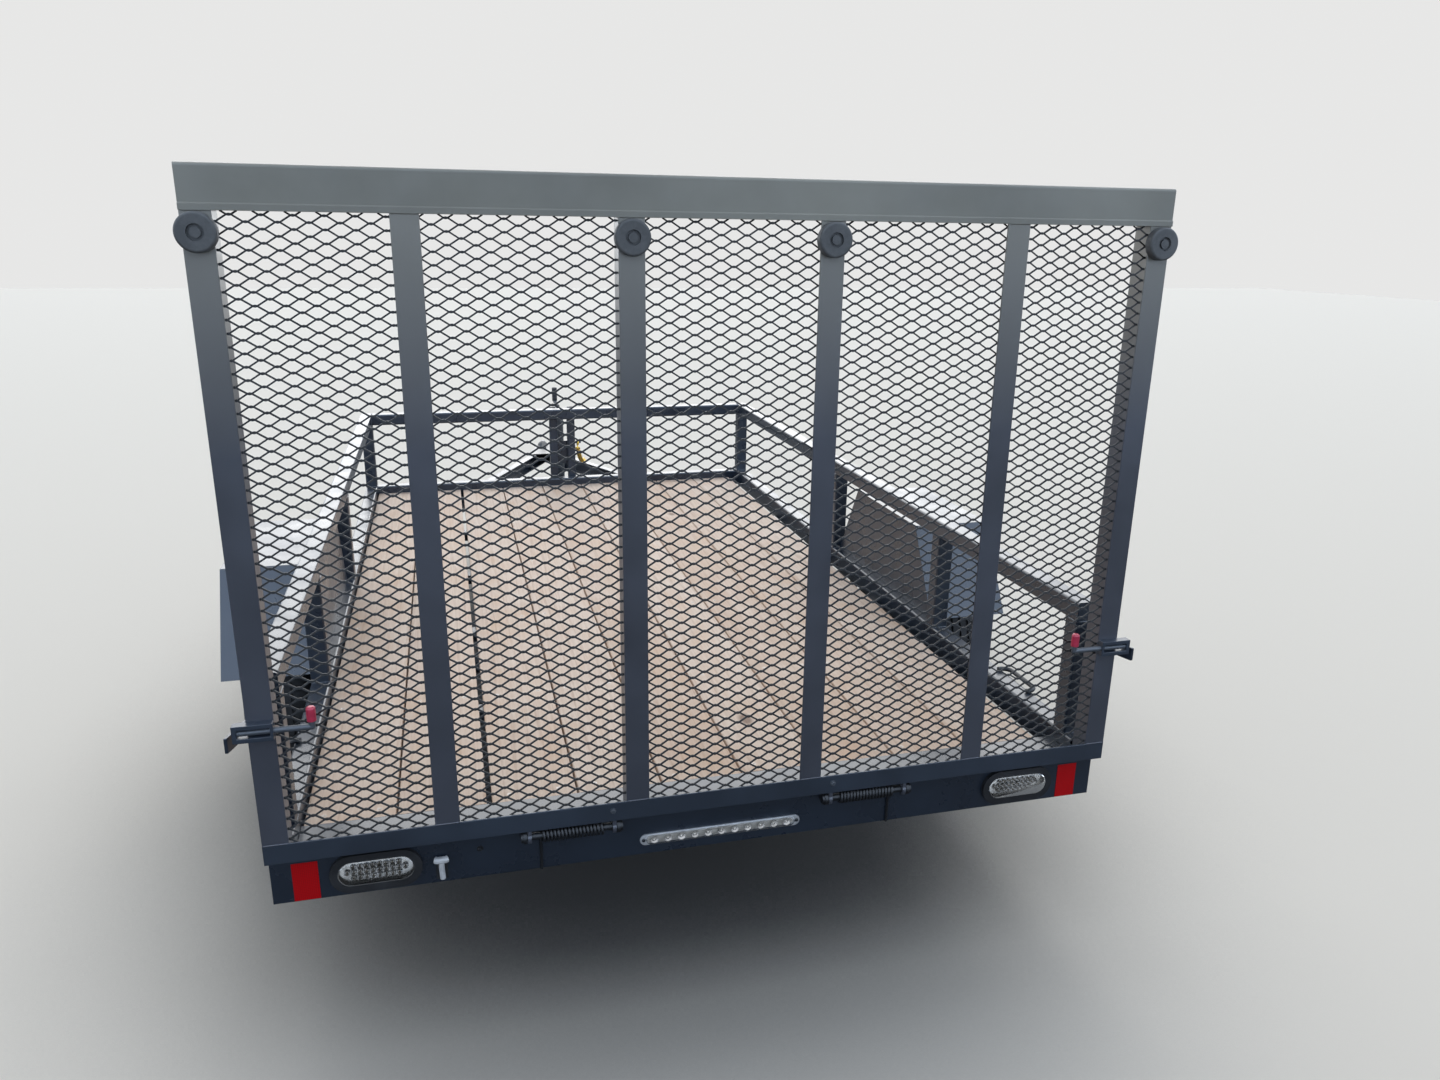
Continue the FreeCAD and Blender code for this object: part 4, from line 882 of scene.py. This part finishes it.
# outlines of one cell as (distance outward, radius), the cup's as shares of its radius
cell = {
    "cup": ((-0.004, 0.3), (-0.003, 0.45), (0.0005, 0.9), (0.0022, 1.0)),
    "diode": ((-0.004, 0.0021), (0.0002, 0.0021), (0.0013, 0.0013), (0.0016, 0.0004)),
}


def addCell(cups, eyes, x, y, z, radius):
    # bright cup with its light emitting diode
    outline = [(out, radius * share) for out, share in cell["cup"]]
    addTurned(cups, (x, y, z), (0, -1, 0), outline, 14, capped=False)
    addTurned(eyes, (x, y, z), (0, -1, 0), cell["diode"], 8)


def addOval(shape, middle, halfLength, halfHeight, steps):
    # steps holds (inset, y)
    addLoops(shape, [stadiumLoop(middle, halfLength - inset, halfHeight - inset, y)
                     for inset, y in steps])


def addLens(shape, middle, halfLength, halfHeight, front, back, steps):
    addOval(shape, middle, halfLength, halfHeight,
            [(0.0, back)] + [(inset, front + depth) for inset, depth in steps])


def makeTailLamps(cups):
    eyes, lenses, backs = newShape(), newShape(), newShape()
    for low, high in solidsOf("tail_lights"):
        middle = (low + high) / 2
        halfLength = (high.x - low.x) / 2
        halfHeight = (high.z - low.z) / 2
        addLens(lenses, middle, halfLength, halfHeight, low.y, high.y - lamp["lensBack"],
                lamp["lensSteps"])
        inset = lamp["backInset"]
        addOval(backs, middle, halfLength, halfHeight,
                [(inset, high.y), (inset, high.y - lamp["backThick"])])
        for row in range(lamp["rows"]):
            place = row - (lamp["rows"] - 1) / 2
            cells = lamp["cellsAcross"] - int(2 * abs(place))   # outer rows follow the oval
            for k in range(cells):
                x = middle.x + (k - (cells - 1) / 2) * lamp["cellPitch"]
                z = middle.z + place * lamp["rowPitch"]
                addCell(cups, eyes, x, high.y - lamp["cellDepth"], z, lamp["cellRadius"])
    addPiece("tailLampLenses", lenses, clearLens, "trailer_frame", 40,
             standsFor=("tail_lights",))
    addPiece("lampDiodes", eyes, diodeResin, "trailer_frame", 50)
    addPiece("lampBacks", backs, lampSilver, "trailer_frame", 40)


def makeLightBar(cups):
    lens, base, eyes, screws = newShape(), newShape(), newShape(), newShape()
    low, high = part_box("light_bar")
    middle = (Vector(low) + Vector(high)) / 2
    halfLength = (high[0] - low[0]) / 2
    halfHeight = (high[2] - low[2]) / 2
    front, back = low[1], high[1]
    addLens(lens, middle, halfLength - bar["lensShort"], halfHeight - bar["lensLow"], front,
            back - bar["lensBack"], bar["lensSteps"])
    addOval(base, middle, halfLength, halfHeight,
            [(inset, back - depth) for inset, depth in bar["baseSteps"]])
    for k in range(bar["cells"]):
        x = middle.x + (k - (bar["cells"] - 1) / 2) * bar["pitch"]
        addCell(cups, eyes, x, back - bar["cellDepth"], middle.z, bar["cellRadius"])
    face = back - bar["baseSteps"][-1][1]
    for side in (-1, 1):
        spot = (middle.x + side * (halfLength - bar["screwInset"]), face, middle.z)
        addTurned(screws, spot, (0, -1, 0), bar["screw"], 12)
    addPiece("lightBarLens", lens, clearLens, "trailer_frame", 40,
             standsFor=("light_bar",))
    addPiece("lightBarBase", base, barPlastic, "trailer_frame", 40)
    addPiece("lightBarDiodes", eyes, bright, "trailer_frame", 50)
    addPiece("lightBarScrews", screws, darkSteel, "trailer_frame", 40)


def makeLamps():
    cups = newShape()
    makeTailLamps(cups)
    makeLightBar(cups)
    addPiece("lampCups", cups, lampSilver, "trailer_frame", 50)


# Welds and the plates that close tube ends
welds = {
    "radius": 0.0032,
    "ripple": 0.0045,
    "valley": 0.82,            # radius between ripples, over that on them
    "end": 0.3,                # radius at a run's ends
    "postInset": 0.001,
    "railInset": 0.006,
    "upright": (0.0026, 0.001),            # radius and how far behind the upright's face
    "foot": (0.0022, 0.0008),
    "footSunk": 0.0004,
    "earRadius": 0.0024,
    "earInset": 0.004,
    "earSunk": 0.001,
    "tubeWall": 0.0025,
    "flush": 0.0004,
}


def addWeld(shape, start, end, radius=None):
    # a run of small overlapping ripples
    radius = radius or welds["radius"]
    start, end = Vector(start), Vector(end)
    count = max(2, int((end - start).length / welds["ripple"]))
    along = (end - start).normalized()
    side = along.orthogonal().normalized()
    up = along.cross(side)
    loops = []
    for k in range(count + 1):
        r = radius * (welds["valley"] if k % 2 else 1.0)
        if k in (0, count):
            r = radius * welds["end"]
        here = start + (end - start) * (k / count)
        loops.append([here + side * (r * math.cos(math.pi * i / 3))
                      + up * (r * math.sin(math.pi * i / 3)) for i in range(6)])
    addLoops(shape, loops)


def weldRing(shape, low, high, z):
    # round a square tube's foot or top
    inset = welds["postInset"]
    x0, x1, y0, y1 = low.x + inset, high.x - inset, low.y + inset, high.y - inset
    corners = [(x0, y0), (x1, y0), (x1, y1), (x0, y1)]
    for a, b in zip(corners, corners[1:] + corners[:1]):
        addWeld(shape, (*a, z), (*b, z))


def addTubeEnds(onFrame, onGate):
    # flush plates in the rails, the side frames and the gate's top rail
    wall, flush = welds["tubeWall"], welds["flush"]
    for side in ("left", "right"):
        low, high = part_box("side_rail_" + side)
        addBox(onFrame, (low[0] + wall, low[1] + flush, low[2] + wall),
               (high[0] - wall, low[1] + wall, high[2] - wall))
        for low, high in ((low, high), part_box("side_frame_" + side)):
            addBox(onFrame, (low[0] + wall, high[1] - wall, low[2] + wall),
                   (high[0] - wall, high[1] - flush, high[2] - wall))
    low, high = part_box("gate_top_rail")
    for x in (low[0] + flush, high[0] - wall):
        addBox(onGate, (x, low[1] + 2 * wall, low[2] + wall),
               (x + wall - flush, high[1] - wall, high[2] - wall))


def makeWelds():
    onFrame, onGate = newShape(), newShape()
    for low, high in solidsOf("rail_posts"):
        weldRing(onFrame, low, high, low.z)
        weldRing(onFrame, low, high, high.z)
    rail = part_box("front_rail")
    inset = welds["railInset"]
    for x in (rail[0][0], rail[1][0]):
        for low, high in (rail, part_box("front_header")):
            addWeld(onFrame, (x, low[1], low[2] + inset), (x, low[1], high[2] - inset))
            addWeld(onFrame, (x, low[1] + inset, high[2]), (x, high[1] - inset, high[2]))
    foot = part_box("gate_bottom_rail")[1][2] - welds["footSunk"]
    for low, high in solidsOf("gate_uprights"):
        for z, (radius, behind) in ((high.z, welds["upright"]), (foot, welds["foot"])):
            addWeld(onGate, (low.x, low.y + behind, z), (high.x, low.y + behind, z), radius)
    inset = welds["earInset"]
    for low, high in solidsOf("gate_hinge_ears"):
        z = high.z - welds["earSunk"]
        for x in (low.x, high.x):
            addWeld(onGate, (x, low.y + inset, z), (x, high.y - inset, z), welds["earRadius"])
    addTubeEnds(onFrame, onGate)
    addPiece("frameWelds", onFrame, weldPaint, "trailer_frame", 60)
    addPiece("gateWelds", onGate, gatePaint, "gate", 60)


# Bolts and other small parts
bolts = {
    "washer": (1.28, 1.2),     # radius at its foot and its top, over the head's
    "washerThick": (0.16, 0.17),           # at its edge and at the head
    "bevelAt": 0.82,           # share of the head's height
    "bevel": 0.86,             # radius over the bevel, over the head's
    "pad": (0.0072, 0.0040),   # head's radius and height
    "padSunk": 0.0062,         # seat behind the pad's face
    "hinge": (0.0055, 0.0046),
    "hingeX": 0.255,           # from the gate's middle
    "hingeUp": 0.026,          # over the bottom rail's lower edge
    "rear": (0.0055, 0.0045),
    "rearPlace": (-0.541, 0.459),          # x and z on the rear member
}
tee = {
    "x": -0.623,
    "top": 0.448,
    "foot": 0.402,
    "headHalf": 0.0125,
    "headRadius": 0.0078,
    "headBend": 0.6,           # where the head bends back, over its half length
    "headOut": (0.006, 0.0085),            # its middle line off the wall, at its ends and between
    "stemRadius": 0.0062,
    "stemOut": (0.008, 0.0075, 0.006),     # at the top, the middle and the foot
    "stemLean": 0.001,
    "slotBelow": 0.004,
    "slotProud": 0.0008,
}
valve = {
    "place": (0.060, -0.166),  # outward and down from the wheel's middle
    "lean": 0.22,
    # (distance along the stem, radius)
    "profile": ((-0.012, 0.0060), (0.004, 0.0058), (0.010, 0.0044), (0.022, 0.0040),
                (0.0225, 0.0046), (0.031, 0.0046), (0.033, 0.0036)),
}
grip = {
    "axisIn": 0.013,           # its axis behind the crank's front
    "length": 0.070,
    "radius": 0.0132,
    "valley": 0.0126,
    "ribs": 8,
    "pitch": 0.008,
    "firstRib": 0.004,
    "ribEnds": (0.0052, 0.006, 0.0074),    # where a rib, its slope and the valley end
    "foot": (0.002, 0.0122),   # (height, radius)
    "top": ((-0.0005, 0.0128), (0.0, 0.0102)),     # (height over the end, radius)
}


def addHexBolt(shape, centre, size):
    # flanged head that looks backwards
    radius, height = size
    wide, narrow = [radius * share for share in bolts["washer"]]
    edge, full = [radius * share for share in bolts["washerThick"]]
    addTurned(shape, centre, (0, -1, 0), [(0, wide), (edge, wide), (full, narrow)], 20)
    base = Vector(centre) - Vector((0, edge, 0))
    addTurned(shape, base, (0, -1, 0), [(0, radius), (height * bolts["bevelAt"], radius),
                                        (height, radius * bolts["bevel"])], 6)


def makeBolts():
    onPads, onGate, onRear = newShape(), newShape(), newShape()
    for low, high in solidsOf("gate_pads"):
        middle = (low + high) / 2
        addHexBolt(onPads, (middle.x, low.y + bolts["padSunk"], middle.z), bolts["pad"])
    low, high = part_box("gate_bottom_rail")
    for x in (-bolts["hingeX"], bolts["hingeX"]):
        addHexBolt(onGate, (x, low[1], low[2] + bolts["hingeUp"]), bolts["hinge"])
    x, z = bolts["rearPlace"]
    addHexBolt(onRear, (x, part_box("rear_member")[0][1], z), bolts["rear"])
    addPiece("padBolts", onPads, padRubber, "gate", 30)
    addPiece("hingeBolts", onGate, dullZinc, "gate", 30)
    addPiece("rearBolts", onRear, darkSteel, "trailer_frame", 30)


def makeTee():
    # small plated tee in a slot beside the left lamp; the tee is painted near white for the reflection on its
    # plating, and the slot's darkness is painted shade on a thin black sheet
    clip, slot = newShape(), newShape()
    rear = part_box("rear_member")[0][1]
    x, top, foot, half = tee["x"], tee["top"], tee["foot"], tee["headHalf"]
    bend = half * tee["headBend"]
    atEnd, between = tee["headOut"]
    head = [(x - half, atEnd), (x - bend, between), (x + bend, between), (x + half, atEnd)]
    stem = list(zip((x, x, x + tee["stemLean"]), tee["stemOut"], (top, (top + foot) / 2, foot)))
    addTube(clip, [Vector((across, rear - out, top)) for across, out in head],
            tee["headRadius"], 12)
    addTube(clip, [Vector((across, rear - out, z)) for across, out, z in stem],
            tee["stemRadius"], 12)
    addPiece("platedTee", clip, teePaintedReflection, "trailer_frame", 40)
    # painted shade: a thin black sheet on the wall stands in for the shade inside the slot
    addBox(slot, (x - half, rear - tee["slotProud"], foot - tee["slotBelow"]),
           (x + half, rear, top))
    addPiece("teeSlotShade", slot, blackRubber, "trailer_frame")


def makeValveStem(side):
    sign = 1 if side == "right" else -1
    low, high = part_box("rim_" + side)
    out, down = valve["place"]
    spot = (Vector(low) + Vector(high)) / 2 + Vector((sign * out, 0.0, down))
    stem = newShape()
    addTurned(stem, spot, (sign * 1.0, 0.0, valve["lean"]), valve["profile"], 12)
    addPiece("valveStem." + side, stem, blackRubber, "wheel_" + side, 40)


def makeCrankGrip():
    # ribbed sleeve on the jack's crank
    shape = newShape()
    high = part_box("jack_crank")[1]
    foot = Vector((0.0, high[1] - grip["axisIn"], high[2] - grip["length"]))
    wide, narrow = grip["radius"], grip["valley"]
    rib, slope, valley = grip["ribEnds"]
    profile = [grip["foot"]]
    for k in range(grip["ribs"]):
        start = grip["firstRib"] + k * grip["pitch"]
        profile += [(start, wide), (start + rib, wide), (start + slope, narrow),
                    (start + valley, narrow)]
    profile += [(grip["length"] + up, radius) for up, radius in grip["top"]]
    addTurned(shape, foot, (0, 0, 1), profile, 24)
    addPiece("crankGrip", shape, blackRubber, "trailer_frame", 35)


makeCamera()
makeSun()
makeSky()
makeFloor()
print("camera, sun, sky and floor are in place")
dressNodes()
print("packed pieces are painted")
makeDeck()
makeLattice()
print("deck and expanded metal are made")
for wheelSide in ("left", "right"):
    makeTyre(wheelSide)
makeLiftSprings()
makeLamps()
print("tyres, lift springs and lamps are made")
makeWelds()
makeBolts()
makeTee()
for wheelSide in ("left", "right"):
    makeValveStem(wheelSide)
makeCrankGrip()
print("welds and small parts are made")

bpy.context.scene.view_settings.view_transform = "Standard"
